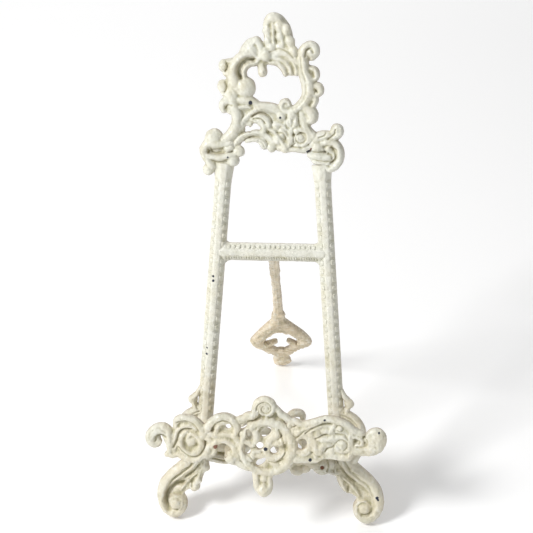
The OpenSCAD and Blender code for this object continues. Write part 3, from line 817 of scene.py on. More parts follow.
def crest_right_scroll(r):
    """Right S-scroll: a channelled strap with a curl at each end."""
    r.stroke([[28.5, 371.8, 3, 3.4], [31.4, 375.6, 4.6, 4.6], [30.6, 380.6, 5.4, 5.2],
              [26.4, 382.2, 5, 5.4], [22.4, 378.6, 5.4, 5.6], [21.6, 371, 7.6, 6], [23, 362.5, 8.2, 6],
              [26, 354, 8.8, 6.2], [26.4, 346.6, 8.6, 6], [23.6, 339.6, 7.8, 5.8], [17.6, 334.4, 6, 5.2],
              [12, 332, 5, 4.6], [6.9, 334.2, 4, 4.6], [6.8, 338.6, 4, 4.8], [10.4, 340, 3.6, 4.6],
              [12.4, 337.2, 2.8, 4.2]])
    r.ball(28.6, 377, 4.9, 1.6).ball(9.6, 336.8, 3.4, 1.2)
    r.groove([[20.4, 373], [21.2, 363.5], [24.2, 355], [24.6, 347.5], [22.6, 341.6], [18.6, 337],
              [15, 335]], 1.5, 0.9)
    r.groove([[23.6, 373.4], [24.2, 378], [27.6, 379.2], [29.4, 376.6]], 1.3, 1.8)
    r.stroke([[27.5, 364.6, 4, 4], [31.2, 363, 5, 4.6], [32.2, 358.8, 4.6, 4.4], [29.8, 356, 3.6, 4]])
    r.stroke([[29, 352, 5, 4], [34.2, 350.6, 5.6, 4.8], [35.2, 346.8, 5, 4.4], [31, 344.4, 4, 4]])
    r.stroke([[28.5, 342.6, 5, 4], [31.8, 340.8, 5, 4.4], [30.2, 337.4, 4.4, 4]])
    r.sheet([[22, 368], [28, 366], [33, 362], [31, 355], [36, 350], [34, 344], [31, 338], [25, 336],
             [24, 344], [26, 355]], 3.4)
    r.groove([[29.6, 361.6], [30.6, 358.6]], 1.2, 1.4)
    r.groove([[31, 349.4], [33.4, 347]], 1.2, 1.4)
    r.stroke([[19.4, 336.6, 4, 4], [24.6, 334.6, 7, 5.2], [28.8, 331, 8, 5.4], [29.4, 327, 7, 5],
              [26.2, 324.6, 5, 4.4]])
    r.ball(27.6, 329.6, 4.6, 0.8)
    r.stroke([[21, 332, 5, 4], [23.4, 325, 6, 4.6], [26, 318, 6.5, 4.6], [31, 313, 7, 4.6]])
    r.groove([[19, 332], [19.6, 326], [18.4, 321]], 1.2, 0.7)


def crest_bridge(r):
    """Bridge between the capitals: two fronds, leaves and a flower."""
    r.stroke([[-38, 306.5, 5, 4.4], [-32, 309.4, 6, 5], [-26.6, 316, 6, 5.4], [-21.4, 323.6, 5.6, 5.6],
              [-15.8, 329.6, 5.6, 5.8], [-9, 333.4, 6, 5.8], [-1.6, 332.4, 6, 5.6], [3.6, 328.6, 5, 5]],
             crown="lip")
    r.stroke([[-15.6, 326, 3.6, 4.4], [-10, 328.6, 4.4, 5], [-4.6, 326, 5, 5.2], [-3.4, 320.8, 5, 4.8]])
    r.stroke([[-14, 324.6, 3, 3.8], [-9.2, 325.4, 3.8, 4.4], [-7.2, 322.6, 3.4, 4.2]])
    r.groove([[-16, 328.4], [-9.6, 331], [-3.4, 328.6], [-0.8, 324]], 1.3, 1.8)
    r.groove([[-14.6, 326.6], [-9.4, 327.2], [-6.2, 323.6]], 1.1, 1.4)
    r.ball(-18.4, 322.4, 2.9, 0.6)
    r.stroke([[-14, 336.4, 4, 4], [-7, 337, 4, 4.6], [0, 335.6, 4.6, 4.6], [5, 333, 4, 4]])
    r.stroke([[-29, 305, 4, 4], [-25, 310.6, 4.4, 5], [-18, 314.4, 4.6, 5.4], [-10, 314.8, 5, 5.6],
              [-3, 311, 5.4, 5.4], [0, 305, 5, 5]], crown="lip")
    r.stroke([[-20, 309.6, 2.6, 4], [-14, 311, 3.4, 4.8], [-8.6, 309.4, 4.6, 5], [-6.6, 306.4, 5, 4.8]])
    r.groove([[-24.6, 307.4], [-18.4, 311.6], [-11.6, 312.4], [-5.4, 309]], 1.2, 1.8)
    r.groove([[-11, 310], [-8, 308.6], [-6.4, 306]], 1.0, 1.1)
    r.stroke([[-6, 319.6, 4, 4], [0, 317.6, 6, 5], [5, 312.4, 6, 5], [8, 306.6, 6, 5]], crown="ridge")
    r.sheet([[-8, 334], [2, 336], [14, 332], [22, 334], [28, 322], [31, 312], [28, 302.4], [10, 302],
             [2, 303], [-4, 314], [-2, 322]], 3.7)
    r.ball(6.2, 328.6, 4.2, 2.2).chip(5.6, 327.8, 0.9)
    for x, u, size in ((14, 329.6, 3.6), (11, 324, 3.4), (2.6, 321.6, 3.2), (7.4, 316.4, 3.6),
                       (16.8, 323, 3.2), (3.6, 310.6, 3.6), (9.4, 305, 3.6), (13.6, 311, 3.4),
                       (24, 306.6, 3.6), (19, 304.8, 3.2), (-1, 304.6, 3.0)):
        r.ball(x, u, size, 2.4, 1.0, 1.25, 25)
    r.stroke([[10, 333, 4, 4], [13, 327, 6.6, 5.4], [13.4, 321, 5, 4.8]], crown="ridge")
    r.stroke([[2, 324, 5, 4.4], [7.6, 321.6, 5.6, 5], [11.4, 318, 5, 4.6]], crown="ridge")
    r.stroke([[17.4, 329, 4.4, 4.4], [16.6, 322.6, 5.4, 5], [13, 318, 5, 4.6]], crown="ridge")
    r.ball(13.4, 317.4, 3.4, 1.8)
    r.stroke(spiral(21.4, 312.6, 6.6, 3.2, 130, -200, 4.4, 3.4, 4.6, 5.2))
    r.ball(20.8, 312.4, 2.8, 2.4)
    r.groove(spiral(21.2, 312.4, 4.4, 3.4, 100, -230, 1, 1), 1.2, 1.7)
    r.stroke([[10.6, 313.6, 4.6, 4.6], [12.6, 308.6, 6, 5], [11.6, 304.6, 5, 4.4]], crown="ridge")
    r.ball(5.6, 305.4, 3.6, 1.0)
    r.stroke([[8, 302.8, 3.4, 3.6], [16, 303.6, 4, 4.4], [24, 303, 4, 4.4], [29.4, 306, 4, 4]])
    r.stroke([[26.6, 309, 5, 4.4], [30, 314.4, 6, 4.6]])
    r.groove([[10.4, 330], [9.6, 324.6], [10.6, 320]], 1.1, 0.7)
    r.groove([[3, 316], [8, 316], [10, 311]], 1.1, 1.2)
    r.groove([[15.4, 317], [15.8, 311], [14.6, 307]], 1.1, 0.8)
    r.groove([[16, 305.6], [23, 305.4], [27.4, 308]], 1.0, 1.1)
    r.rust(29.6, 303.8, 1.4)
    for x, u in ((26.4, 302.2), (27.6, 302.9)):
        r.chip(x, u, 0.9)


def crest_relief():
    """The whole crest, one casting with the frame."""
    r = Relief(fat=1.2, lift=1.12)
    for part in (crest_plume, crest_arch, crest_left_scroll, crest_right_scroll, crest_bridge):
        part(r)
    return r


def right_capital_relief():
    """Right post's capital: an upper curl, a large outer curl and two collars."""
    r = Relief(fat=1.15, lift=1.08)
    r.stroke([[30, 308, 6, 4.4], [34.4, 312.6, 8, 5], [40.4, 314.2, 7.4, 5], [45, 313.6, 6, 5],
              [50, 315, 5.4, 5.2], [50.8, 319.6, 5, 5.2], [46.8, 321, 4.4, 4.8], [45.2, 317.6, 3, 4]])
    r.groove([[42, 312], [46.4, 315.8], [47.4, 319]], 1.1, 1.5)
    r.stroke([[36, 308, 6, 4.6], [42.6, 309.6, 6, 5.4], [49, 306.4, 6.4, 6], [51, 299.6, 6.6, 6.2],
              [48.6, 292.4, 6.4, 6], [43.6, 289, 5.4, 5], [40, 290.6, 4, 4.4]])
    r.ball(44.4, 298.4, 5.6, 0.2, 0.9)
    r.ball(42.6, 304.6, 3, 2.0)
    r.groove([[44.6, 305.8], [47.8, 302.6], [47.6, 297.2], [44.4, 294]], 1.6, 2.2)
    r.groove([[42.4, 300.8], [45, 299.6], [45, 297.4]], 1.4, 2.0)
    r.sheet([[28, 300], [31, 312], [42, 315], [50, 308], [52, 298], [46, 288], [38, 289], [32, 293]], 3.0)
    r.stroke([[29, 299.4, 5, 5], [34, 298.6, 6, 6], [40, 298, 6, 6], [46, 298, 5, 5.4]])
    r.stroke([[31.6, 294.6, 3.6, 4.8], [38, 293.4, 3.8, 5.2], [44, 293.2, 3.6, 4.8]])
    r.ball(47.4, 317.8, 4.6, 1.6)
    r.ball(33.6, 305.6, 5, 1.6)
    r.stroke([[30.4, 296.8, 3.6, 3.6], [34, 294.8, 4, 4.2]])
    r.stroke([[31, 305, 4, 4], [37, 304.4, 5, 5]])
    r.groove([[31, 302.6], [36, 302.2], [40, 302.6]], 1.0, 1.2)
    r.groove([[40.6, 318.6], [39.4, 315], [35, 313]], 1.0, 1.2)
    return r


def left_capital_relief():
    """Left post's capital: a round leaf, a hooked scroll and three balls."""
    r = Relief(fat=1.15, lift=1.08)
    r.stroke([[-33, 308, 6, 5], [-38.6, 307.4, 7, 5.4], [-44, 307.6, 8, 5.6], [-50.4, 306, 7.4, 5.4],
              [-53.4, 301, 6, 5], [-50.4, 295.6, 6, 4.6], [-47, 290, 6, 4.2]])
    r.ball(-45.2, 311.6, 7.2, 0.4, 0.9).stroke([[-41, 309, 5, 4.6], [-43, 314, 6, 5]])
    r.stroke([[-49, 312, 5, 4.2], [-51, 307, 5, 4.4]])
    r.sheet([[-54, 306], [-48, 310], [-36, 309], [-28, 306], [-30, 298], [-34, 290], [-46, 289],
             [-52, 296]], 3.0)
    r.stroke([[-52, 298.4, 4, 4.4], [-44, 296.6, 5, 5.2], [-36, 297.4, 5, 5.2], [-29.6, 298.6, 4, 4.4]])
    r.groove([[-47.4, 304], [-46.6, 301], [-43, 300], [-40, 300.6]], 1.4, 1.6)
    r.groove([[-49, 299.8], [-49.4, 303]], 1.4, 1.6)
    r.ball(-49.6, 286.8, 4.7, -0.2)
    r.ball(-26.2, 301.6, 4.4, 0.4, 1, 1.1, 60)
    r.ball(-30.6, 294.6, 5, 0.2)
    r.stroke([[-35.4, 303, 5, 5], [-31.4, 304.6, 4, 4.6]])
    r.chip(-34.2, 297.2, 0.7)
    return r


FOOT_BAND = [[56.4, 66, 12.5, 4.4], [58.6, 58, 13, 4.8], [63.6, 49.4, 13, 5.2], [71.6, 42.2, 12.4, 5.6],
             [79.6, 35.4, 11.6, 6], [85.6, 27, 11, 6.2], [87, 17, 10.4, 6.2], [83.6, 8.2, 10, 6.2],
             [77.4, 5.3, 9.4, 6], [71.6, 8.8, 7, 5.6], [70.4, 14.6, 6, 5.4], [73, 19.4, 5, 5],
             [77.6, 19.4, 4.4, 5], [79.6, 15.8, 4, 4.8]]


def foot_relief(left):
    """A foot's scroll, drawn on the right; the left one is mirrored and cut deeper."""
    r = Relief()
    side = mirrored if left else list
    r.stroke(side([[p[0], p[1], p[2], p[3]] for p in FOOT_BAND]))
    r.sheet(side([[56, 60], [64, 54], [76, 44], [86, 30], [88, 14], [80, 6], [71, 8], [67.6, 14], [70, 22],
                  [63, 27], [58, 34], [54, 46]]), 1.6 + SINK)
    r.ball(*side([[76.6, 13.8]])[0], 8.4 if left else 6.4, 1.4, 0.9)
    r.groove(side([[58.6, 56], [64.4, 46.2], [72, 39.6], [79.4, 33.4], [83, 25], [83.8, 16], [80.6, 10],
                   [75.4, 9]]), 2.2, 2.6 if left else 1.7)
    r.groove(side(spiral(76.4, 13.8, 5.4, 4.4, 150, -200, 1, 1)), 1.3, 0.8)
    if left:
        r.groove(side([[70, 31], [77, 29.6], [83, 23], [84.6, 15], [82, 8.6]]), 3.0, 3.6)
    # leaves on the inner edge
    r.stroke(side([[55.6, 44, 5, 3.6], [57, 38.6, 6.6, 4.6], [59, 33, 6.4, 4.8], [61.4, 28.6, 5.4, 4.4],
                   [62.4, 27, 3.6, 3.6]]), crown="ridge")
    r.stroke(side([[60, 39, 5, 4], [65.4, 34.6, 6, 4.8], [69.6, 29.4, 6, 4.6], [72, 25.6, 4.4, 4.2]]),
             crown="ridge")
    r.stroke(side([[52.6, 50, 5, 3.4], [52.4, 45.4, 5.4, 4.2], [54, 41.4, 4.6, 3.8]]), crown="ridge")
    r.sheet(side([[52, 52], [60, 52], [70, 40], [76, 30], [72, 24], [64, 26.4], [59, 29], [55, 38]]), 1.6)
    r.groove(side([[57.4, 47], [62.6, 40.6], [68.6, 36]]), 1.2, 1.5)
    r.groove(side([[63.4, 32], [63.2, 28.6]]), 1.4, 1.8)
    # spur on the outer edge
    r.stroke(side([[64.6, 46.4, 4, 3.4], [69.4, 46.4, 4.4, 4], [73.6, 44.6, 4, 4], [76.4, 41.6, 3, 3.6]]))
    r.groove(side([[67, 44.6], [71.4, 42.6]]), 1.0, 1.1)
    if left:
        r.ball(-58.4, 33.6, 3.3, 2.4).ball(-61.4, 28.4, 4.8, 0.8).ball(-52.4, 44.6, 3.6, 1.4)
    else:
        r.chip(86.6, 24.6, 1.3).chip(87.4, 22.8, 0.9)
    return r


def apron_relief():
    """Wavy strap and scrolls between the posts, with the boss of the right screw."""
    r = Relief()
    r.stroke([[50, 50, 10, 4], [42, 48, 12, 4.6], [33, 50, 8, 4.4], [27, 51.6, 7, 4.4], [20, 51.6, 9, 4.6],
              [13, 54.6, 6.6, 4.6], [7, 62, 5.6, 4.8], [3, 70.6, 5.4, 5], [-3.6, 76.4, 5.4, 5],
              [-11.6, 73.8, 5.6, 5], [-17.6, 65, 7, 4.8], [-24, 57.4, 8, 4.6], [-34, 52.4, 9, 4.4],
              [-44, 53, 9.6, 4.2], [-51, 55, 10, 4]])
    scroll = [[52, 84, 7, 4], [43, 73, 8, 4.4], [30, 70, 12, 4.6], [19, 74.6, 8, 4.6], [11, 73.6, 6, 4.4]]
    for s in (1, -1):
        r.stroke([[s * p[0], *p[1:]] for p in scroll])
        r.ball(s * 30, 70, 7.4, -1.6, 0.9)
    r.ball(22, 45, 6.0, -0.6).ball(17, 49, 4.8, -0.4).ball(28, 46.4, 5.0, -0.6)
    r.stroke([[-50, 63, 8, 3.2], [-38, 62, 9, 3.6], [-26, 63, 7, 3.4]])
    r.stroke([[47, 44.6, 6, 3.8], [51.6, 43.4, 5, 3.6], [55.4, 43.6, 4, 3.4]])
    r.ball(42, 48, 8.6, -3.2, 0.8)
    for k in range(3):
        a = math.radians(200 + 45 * k)
        r.groove([[42 + 4.5 * math.cos(a), 48 + 4.5 * math.sin(a)],
                  [42 + 8 * math.cos(a), 48 + 8 * math.sin(a)]], 0.9, 0.6)
    r.groove(spiral(42, 48, 1.2, 0.8, 0, 350, 1, 1), 1.3, 1.5)
    r.stroke([[13, 78, 6, 4], [14.6, 87, 6.6, 4.6], [19, 92, 6.6, 5], [24.6, 91.8, 5.4, 4.8],
              [26, 87.6, 4.4, 4.4], [23.4, 83.4, 3.4, 3.8]])
    r.stroke([[-13, 76, 6, 4], [-14.4, 82.4, 6, 4.4], [-19, 84.6, 5.6, 4.4], [-22.6, 81.4, 4, 4]])
    r.groove([[17, 84], [18.6, 88.4], [22.4, 88.6]], 1.4, 2.0)
    for x in (46, 52):
        r.groove([[x, 44.6], [x + 1, 50], [x - 0.4, 55]], 1.3, 1.5)
    r.groove([[-30, 52], [-38, 51.6], [-46, 53.4]], 1.2, 1.2)
    r.rust(42, 48, 1.5)
    return r


def bracket_relief(left):
    """Scroll outside a post; drawn on the right, and the left one is mirrored."""
    r = Relief()
    side = mirrored if left else list
    r.stroke(side([[54, 94.6, 6, 4], [61, 92, 7, 4.4], [68.6, 87, 7, 4.4], [73, 79, 7, 4.4],
                   [73.4, 69, 7, 4.2], [69.6, 58.6, 7, 4], [65, 50, 6, 3.8]]))
    r.stroke(side([[56, 112.6, 3, 2], [58.6, 107, 4, 3.4], [61.6, 103, 5, 4], [61, 97, 5, 4],
                   [57, 92, 6, 4]]))
    r.ball(*side([[62.4, 101.6]])[0], 3.9, 0.4)
    r.sheet(side([[52, 98], [60, 94], [68, 88], [72, 78], [70, 62], [62, 52], [56, 60], [54, 80]]),
            -0.6 + SINK)
    r.groove(side([[58.4, 104], [59.6, 99], [58.4, 94.6]]), 1.2, 1.3)
    r.groove(side([[57, 92.6], [64.6, 88.6], [70, 80.6], [70.4, 70]]), 1.3, 1.3)
    return r


# ---------------------------------------------------------------- the ledge
def ledge_left_relief():
    """Left wing: end curl, double scroll, eye scroll and ball."""
    r = LedgeRelief()
    # end curl
    r.strap([[-77, 67.6, 4, 4], [-76.4, 74, 6, 5], [-77.6, 82, 8.4, 6], [-80.6, 87.4, 9, 6.4],
             [-86, 87.2, 9, 6.6], [-90.6, 82.6, 8.6, 6.6], [-90.4, 77, 7.4, 6.2], [-86.6, 75.2, 5, 5.4],
             [-84.2, 77.6, 3, 4.6]])
    r.ball(-89, 79.6, 5.4, LEDGE_BACK + 1.0)
    r.groove([[-87.6, 79], [-86.6, 82.4], [-82.6, 83.4], [-80, 82]], 1.8, 2.6)
    r.groove([[-79.6, 86], [-84.6, 90], [-89.6, 87.4], [-92.6, 82]], 0.9, 0.5)
    # first wing: a double scroll
    r.sheet([[-73, 94], [-66, 99], [-55, 96], [-48, 86], [-46, 76], [-50, 66], [-60, 62], [-70, 65],
             [-75, 76]], LEDGE_BACK + 4.6)
    r.strap([[-72, 90, 4, 4.4], [-70.6, 95.6, 5, 5], [-63.6, 97.4, 5, 5.2], [-56, 94.6, 5.4, 5.4],
             [-51.6, 88.6, 6, 5.4], [-50.6, 82.6, 6, 5.2]])
    r.strap([[-73, 70, 4, 4], [-72.8, 78, 5.6, 5], [-71.4, 84.6, 5, 5], [-68, 89, 4.6, 4.8],
             [-62, 91, 4.6, 4.6], [-56.6, 88.6, 4.4, 4.4]])
    r.strap([[-64, 86.2, 4, 4.6], [-68, 80.6, 5, 5.2], [-67.2, 73, 5.2, 5.4], [-61.4, 68.6, 5.4, 5.6],
             [-54.8, 70.6, 5.2, 5.6], [-52, 76.6, 5, 5.4], [-54.4, 82.4, 4.6, 5.2], [-60, 84.6, 4, 5],
             [-63, 80, 3.6, 4.8], [-60.6, 76, 3.4, 4.8]])
    r.ball(-59.4, 79, 4.6, LEDGE_BACK + 1.2)
    r.strap([[-70, 68, 5, 4.6], [-63.4, 64.4, 6, 5], [-56, 64.6, 6, 5.4], [-49.6, 69, 6, 5.6],
             [-44.6, 75, 5.6, 5.6], [-39.4, 79.4, 5.4, 5.6], [-33, 80, 5, 5.4], [-28, 76.6, 5, 5.2],
             [-25.4, 71.6, 5, 5]])
    r.groove([[-73.4, 74], [-71, 79.6], [-69.4, 85], [-65.6, 88.6], [-60, 88.6]], 1.4, 2.4)
    r.groove([[-69.4, 74], [-66, 70.4], [-60, 66.6], [-54, 67.4], [-49.6, 73], [-48.8, 79]], 1.2, 1.8)
    r.groove([[-71, 94], [-64, 95.4], [-57, 92.4], [-53.6, 87]], 1.0, 1.2)
    r.strap([[-79, 66.8, 4, 3.6], [-74.4, 66.4, 4.6, 4.2], [-70, 68, 4, 4.2]])
    # second eye curl, below, with the gap in it
    r.strap([[-47.6, 67.6, 5, 4.4], [-45.4, 72.6, 4.6, 4.6]])
    r.strap([[-48, 82.4, 5, 4.6], [-43.6, 78.6, 4.4, 4.8], [-41.6, 72.6, 4, 4.6], [-43.6, 68.6, 4, 4.2],
             [-47.6, 67, 4.4, 4.2]])
    # eye scroll above
    r.strap([[-50, 84, 5, 4.8], [-46.6, 91, 6, 5.4], [-40.6, 96.8, 6.4, 5.8], [-33, 98.6, 6.6, 6],
             [-26.6, 95.4, 6.4, 5.8], [-24.4, 89.6, 5.6, 5.4], [-26.4, 84, 5, 5]])
    r.strap([[-40, 85.6, 4, 4.6], [-39.4, 90.6, 4, 5], [-35.8, 94.2, 4, 5], [-31.4, 95, 3.6, 5]])
    r.strap([[-45.6, 84.6, 5, 4.6], [-39.6, 84, 5, 5], [-33, 85, 5, 5], [-27.4, 84, 5, 5], [-23, 80, 6, 5],
             [-21.6, 73, 7, 5]])
    r.sheet([[-49, 84], [-46, 92], [-40, 98], [-32, 100], [-25, 96], [-23, 88], [-26, 83], [-38, 82]],
            LEDGE_BACK + 2.2 + SINK)
    r.pierce(-31, 91.6, 4, 4.6, 30).pierce(-34.6, 71.6, 5.4, 12, 14)
    r.groove([[-44, 88], [-40.8, 94], [-34.6, 96.8], [-29, 94.6], [-27, 90]], 1.0, 1.4)
    r.strap([[-25, 96, 4, 4.4], [-20.4, 98, 5, 4.8], [-15.6, 99.4, 5, 4.6]])
    # ball end
    r.ball(-28.4, 66, 6.2, LEDGE_BACK + 0.6)
    r.strap([[-24.6, 72.6, 5.4, 5], [-24.2, 67, 6, 5.2], [-26.4, 62.6, 5, 4.6]])
    r.strap([[-24, 62, 5, 4.4], [-18, 59, 5, 4.4], [-13, 57, 4, 4]])
    r.rust(-40.6, 75.4, 1.8)
    return r


def ledge_medallion(r):
    """Thick ring round a dished plate with a pinwheel of pierced holes."""
    x, u = MEDALLION
    ring = [[x + 19.8 * math.cos(a), u + 20.4 * math.sin(a), 6.2 + 2 * math.cos(a), 5.8]
            for a in np.radians(np.arange(0, 361, 12))]
    r.strap(ring, round_ends=False)
    # dished plate and its spokes
    disc = [[x + 18.5 * math.cos(t), u + 19.5 * math.sin(t)] for t in np.radians(np.arange(0, 360, 15))]
    r.sheet(disc, LEDGE_BACK + 2.6 + SINK)
    r.strap([[-13.6, 93.4, 5, 4.6], [-9.8, 88, 6, 5.2], [-8.8, 82.6, 6, 5.2], [-11, 77.6, 5, 4.8],
             [-14.4, 76, 3.6, 4.4]])
    r.strap([[-20.6, 86.6, 4, 4.6], [-18.8, 80.6, 4.6, 5], [-14.6, 79, 4.6, 5]])
    r.strap([[-22, 70.6, 4, 4.4], [-18.6, 66, 6, 5], [-13, 66.6, 6, 5.2], [-10.6, 71.6, 5, 5],
             [-7, 72.4, 4, 4.8]])
    r.strap([[5, 95, 6, 5], [7.6, 89.6, 6, 5.2], [5.4, 84.6, 6, 5.2], [1.6, 81, 6, 5.2], [0.4, 77, 6, 5.4],
             [-1.6, 74, 6, 5.4]])
    r.strap([[14, 84, 6, 5], [10.4, 79.6, 6, 5.2], [5.6, 78.6, 5, 5], [1, 77, 5, 5]])
    r.strap([[13.6, 72, 5, 5], [10.6, 68.6, 6, 5.2], [6.6, 67.4, 6, 5.2], [2, 68.4, 5, 5.2],
             [-1.4, 71.6, 5, 5.2]])
    r.strap([[9, 60, 6, 5], [4.6, 62.8, 6, 5.2], [0.4, 66, 5, 5], [-4, 68.4, 4.6, 5], [-9, 68.6, 4, 4.8]])
    r.strap([[-3, 95.4, 5, 4.8], [-7.4, 92.6, 4, 4.8], [-9, 88, 4, 4.8]])
    r.pierce(-14.6, 85.6, 4, 8.4, 12).pierce(-1.6, 87.6, 5.6, 10, -42).pierce(-16.4, 73, 5.4, 8, 20)
    r.pierce(-6.4, 76.4, 5.8, 5.4, 0).pierce(5, 73.2, 7, 6, 30).pierce(-5.4, 63.4, 5, 9.4, -52)
    r.groove([[8.4, 91], [10.4, 85], [12.4, 80]], 1.1, 1.3)
    r.groove([[12.6, 78], [13.4, 71], [9, 65]], 1.1, 1.3)
    r.groove([[-15.4, 69.6], [-11.6, 65.4]], 1.0, 1.0)
    r.groove([[1, 64.6], [7.4, 63.8], [12, 66.6]], 1.0, 1.1)
    r.chip(-1.6, 74.8, 1.5)


def ledge_top_curl(r):
    """Curl that stands on the medallion."""
    r.strap([[-22, 95.6, 5, 4.4], [-16, 100, 6, 4.8], [-10.6, 101.4, 5.4, 5], [-9.8, 107, 5.4, 5.4],
             [-7.4, 111.8, 5.4, 5.6], [-2.6, 113.4, 5.6, 5.6], [2, 111.2, 5.6, 5.6], [3.6, 106.6, 5.4, 5.4],
             [1, 103, 4.6, 5.2], [-3, 102.6, 4.2, 5], [-5.4, 105.6, 3.8, 5], [-4.2, 109, 3.4, 5],
             [-1, 109.4, 3, 4.8]])
    r.sheet([[-20, 96], [-11, 103], [-8, 111], [-2, 114], [4, 110], [6, 103], [14, 98], [0, 92]],
            LEDGE_BACK + 3.0)
    r.strap([[6, 107, 4, 4.4], [9.6, 102.6, 5, 4.8], [15, 99, 5, 4.8], [19.6, 95, 4, 4.4]])
    r.ball(-1.8, 106.4, 2.6, LEDGE_BACK + 2.4)
    r.groove(spiral(-2.2, 107, 6.9, 2.6, 190, -230, 1, 1), 1.0, 1.3)
    r.groove([[-4, 98.4], [-3, 101]], 1.4, 1.4)


def ledge_drop(r):
    """Two-stranded drop that hangs from the medallion."""
    r.strap([[-9.4, 55.6, 5.6, 4.4], [-9, 48, 4.6, 4.8], [-7.6, 42.6, 5.4, 5], [-4.6, 38.8, 6.4, 5.2]])
    r.strap([[3.6, 55.6, 6, 4.4], [1, 50, 4.6, 4.6], [1.8, 45, 4.6, 5], [0.6, 40.6, 6, 5.2]])
    r.ball(-2.6, 40.4, 6.2, LEDGE_BACK + 1.6)
    r.ball(-2.8, 49.6, 3.4, LEDGE_BACK + 2.4)
    r.sheet([[-10, 56], [-8, 42], [-2, 37], [3, 42], [1, 50], [4, 56]], LEDGE_BACK + 3.4 + SINK)
    r.strap([[-3, 57, 4, 4.6], [-3, 50, 4, 5.2]])


def ledge_middle_relief():
    """The medallion with its curl and its drop."""
    r = LedgeRelief()
    for part in (ledge_medallion, ledge_top_curl, ledge_drop):
        part(r)
    return r


def ledge_right_relief():
    """Right wing: eye, leaf swirl, beaded volutes and end curl."""
    r = LedgeRelief()
    r.strap([[16, 93, 4, 4.6], [18.8, 97.4, 4.4, 4.6], [27, 94.6, 5, 5], [36, 96.6, 5.4, 5.4],
             [44, 99.4, 5, 5.4], [52, 99, 5, 5.4], [60, 95.6, 5, 5.2], [66, 91, 5, 5],
             [72, 88.4, 4.6, 4.8]])
    r.strap([[18, 88, 6, 4.8], [25, 88.4, 7, 5.4], [32.4, 92, 7, 5.8], [39.6, 94, 5, 5.2]], )
    r.strap([[18.6, 82, 5, 4.6], [18.4, 74, 6, 4.8], [21, 68, 6, 4.8]])
    r.strap([[23.6, 86.6, 4, 4.4], [29, 86, 5, 5], [32, 80, 5, 5], [31.4, 73.6, 5, 5], [27.4, 71, 5, 5],
             [22.6, 73, 4, 4.6]])
    r.strap([[15.4, 66.6, 5, 4.6], [22, 66.4, 6, 5], [30, 66.6, 6, 5], [36.6, 66, 5, 4.6], [43, 69, 4, 4.4]])
    r.strap([[33, 86.6, 6, 5], [36, 78, 7, 5.4], [37.6, 70.6, 6, 5]])
    r.sheet([[17, 92], [30, 96], [50, 101], [64, 94], [66, 84], [65, 67], [50, 67], [44, 67], [34, 65],
             [24, 66], [16, 68], [18, 80]], LEDGE_BACK + 4.1 + SINK)
    r.pierce(26.4, 78.8, 7, 9.4, -20)
    # leaf swirl
    r.strap([[38, 92, 4, 4.6], [38.6, 86, 5, 5.2], [43.6, 83, 5.4, 5.6], [50, 84.4, 5, 5.4]])
    r.strap([[40.6, 71.6, 5, 4.8], [41, 77, 5.6, 5.4], [45.4, 79.6, 5, 5.6], [49.6, 76.6, 5, 5.4],
             [49.4, 71.6, 4.4, 4.8]])
    r.strap([[42, 90.6, 4.6, 4.8], [48, 90, 5, 5], [50.4, 94.6, 4.4, 4.8]])
    r.strap(spiral(57.4, 79, 7.2, 4.2, 150, -170, 5, 4, 4.8, 5.6))
    r.ball(57.2, 79.2, 5.2, LEDGE_BACK + 1.4)
    r.groove(spiral(57.2, 79.2, 5, 4, 170, -60, 1, 1), 1.1, 0.8)
    r.ball(55.4, 92.6, 4.4, LEDGE_BACK + 1.2)
    r.groove(spiral(55.4, 92.6, 3, 2, 160, -140, 1, 1), 0.9, 1.0)
    r.strap([[51, 70, 5, 4.6], [57, 69.4, 5.4, 5], [63, 70.4, 5, 4.8], [64.4, 77, 5, 4.6],
             [63.4, 84, 5, 4.6], [64, 90, 4.6, 4.6]])
    r.groove([[29, 88.6], [35.6, 93], [42.4, 95.6], [49, 96]], 1.3, 2.0)
    r.groove([[37, 84], [41.6, 86.4], [45.6, 87.6]], 1.1, 1.6)
    r.groove([[44.4, 73.6], [46.6, 76.6], [51.6, 78.6]], 1.1, 1.5)
    r.groove([[34.6, 72.6], [38.6, 70], [41.6, 68.6]], 1.3, 0.9)
    r.groove([[52.4, 88.2], [58.6, 87.6], [61.6, 84]], 1.0, 1.3)
    r.chip(33, 66.8, 1.3).chip(43.6, 99.6, 0.9)
    r.groove([[22, 84], [28, 90], [34, 92.6]], 1.1, 1.1)
    # end curl
    r.strap([[64, 75.6, 8, 4.6], [72, 75.4, 9, 5.4], [80, 76.2, 9.4, 6], [85.8, 80, 9, 6.4],
             [87, 85.6, 8.4, 6.4], [83.6, 89.4, 7.6, 6], [78.8, 88.2, 5.6, 5.4], [77, 84.6, 4, 5]])
    r.ball(83.4, 84, 8.8, LEDGE_BACK + 1.0, 0.8)
    r.strap([[66, 86, 4, 4.4], [71, 84.6, 4, 4.8], [72.4, 81, 4, 4.8], [69, 79.4, 3.4, 4.4]])
    r.groove([[76, 84.6], [76.6, 81], [74, 78.4], [69, 78]], 1.2, 1.2)
    r.groove([[67, 84.2], [70.6, 82.8], [70.6, 81]], 1.1, 1.4)
    r.sheet([[63, 86], [72, 88], [78, 84], [76, 74], [64, 71]], LEDGE_BACK + 2.4)
    r.chip(85.4, 90.8, 0.8)
    return r


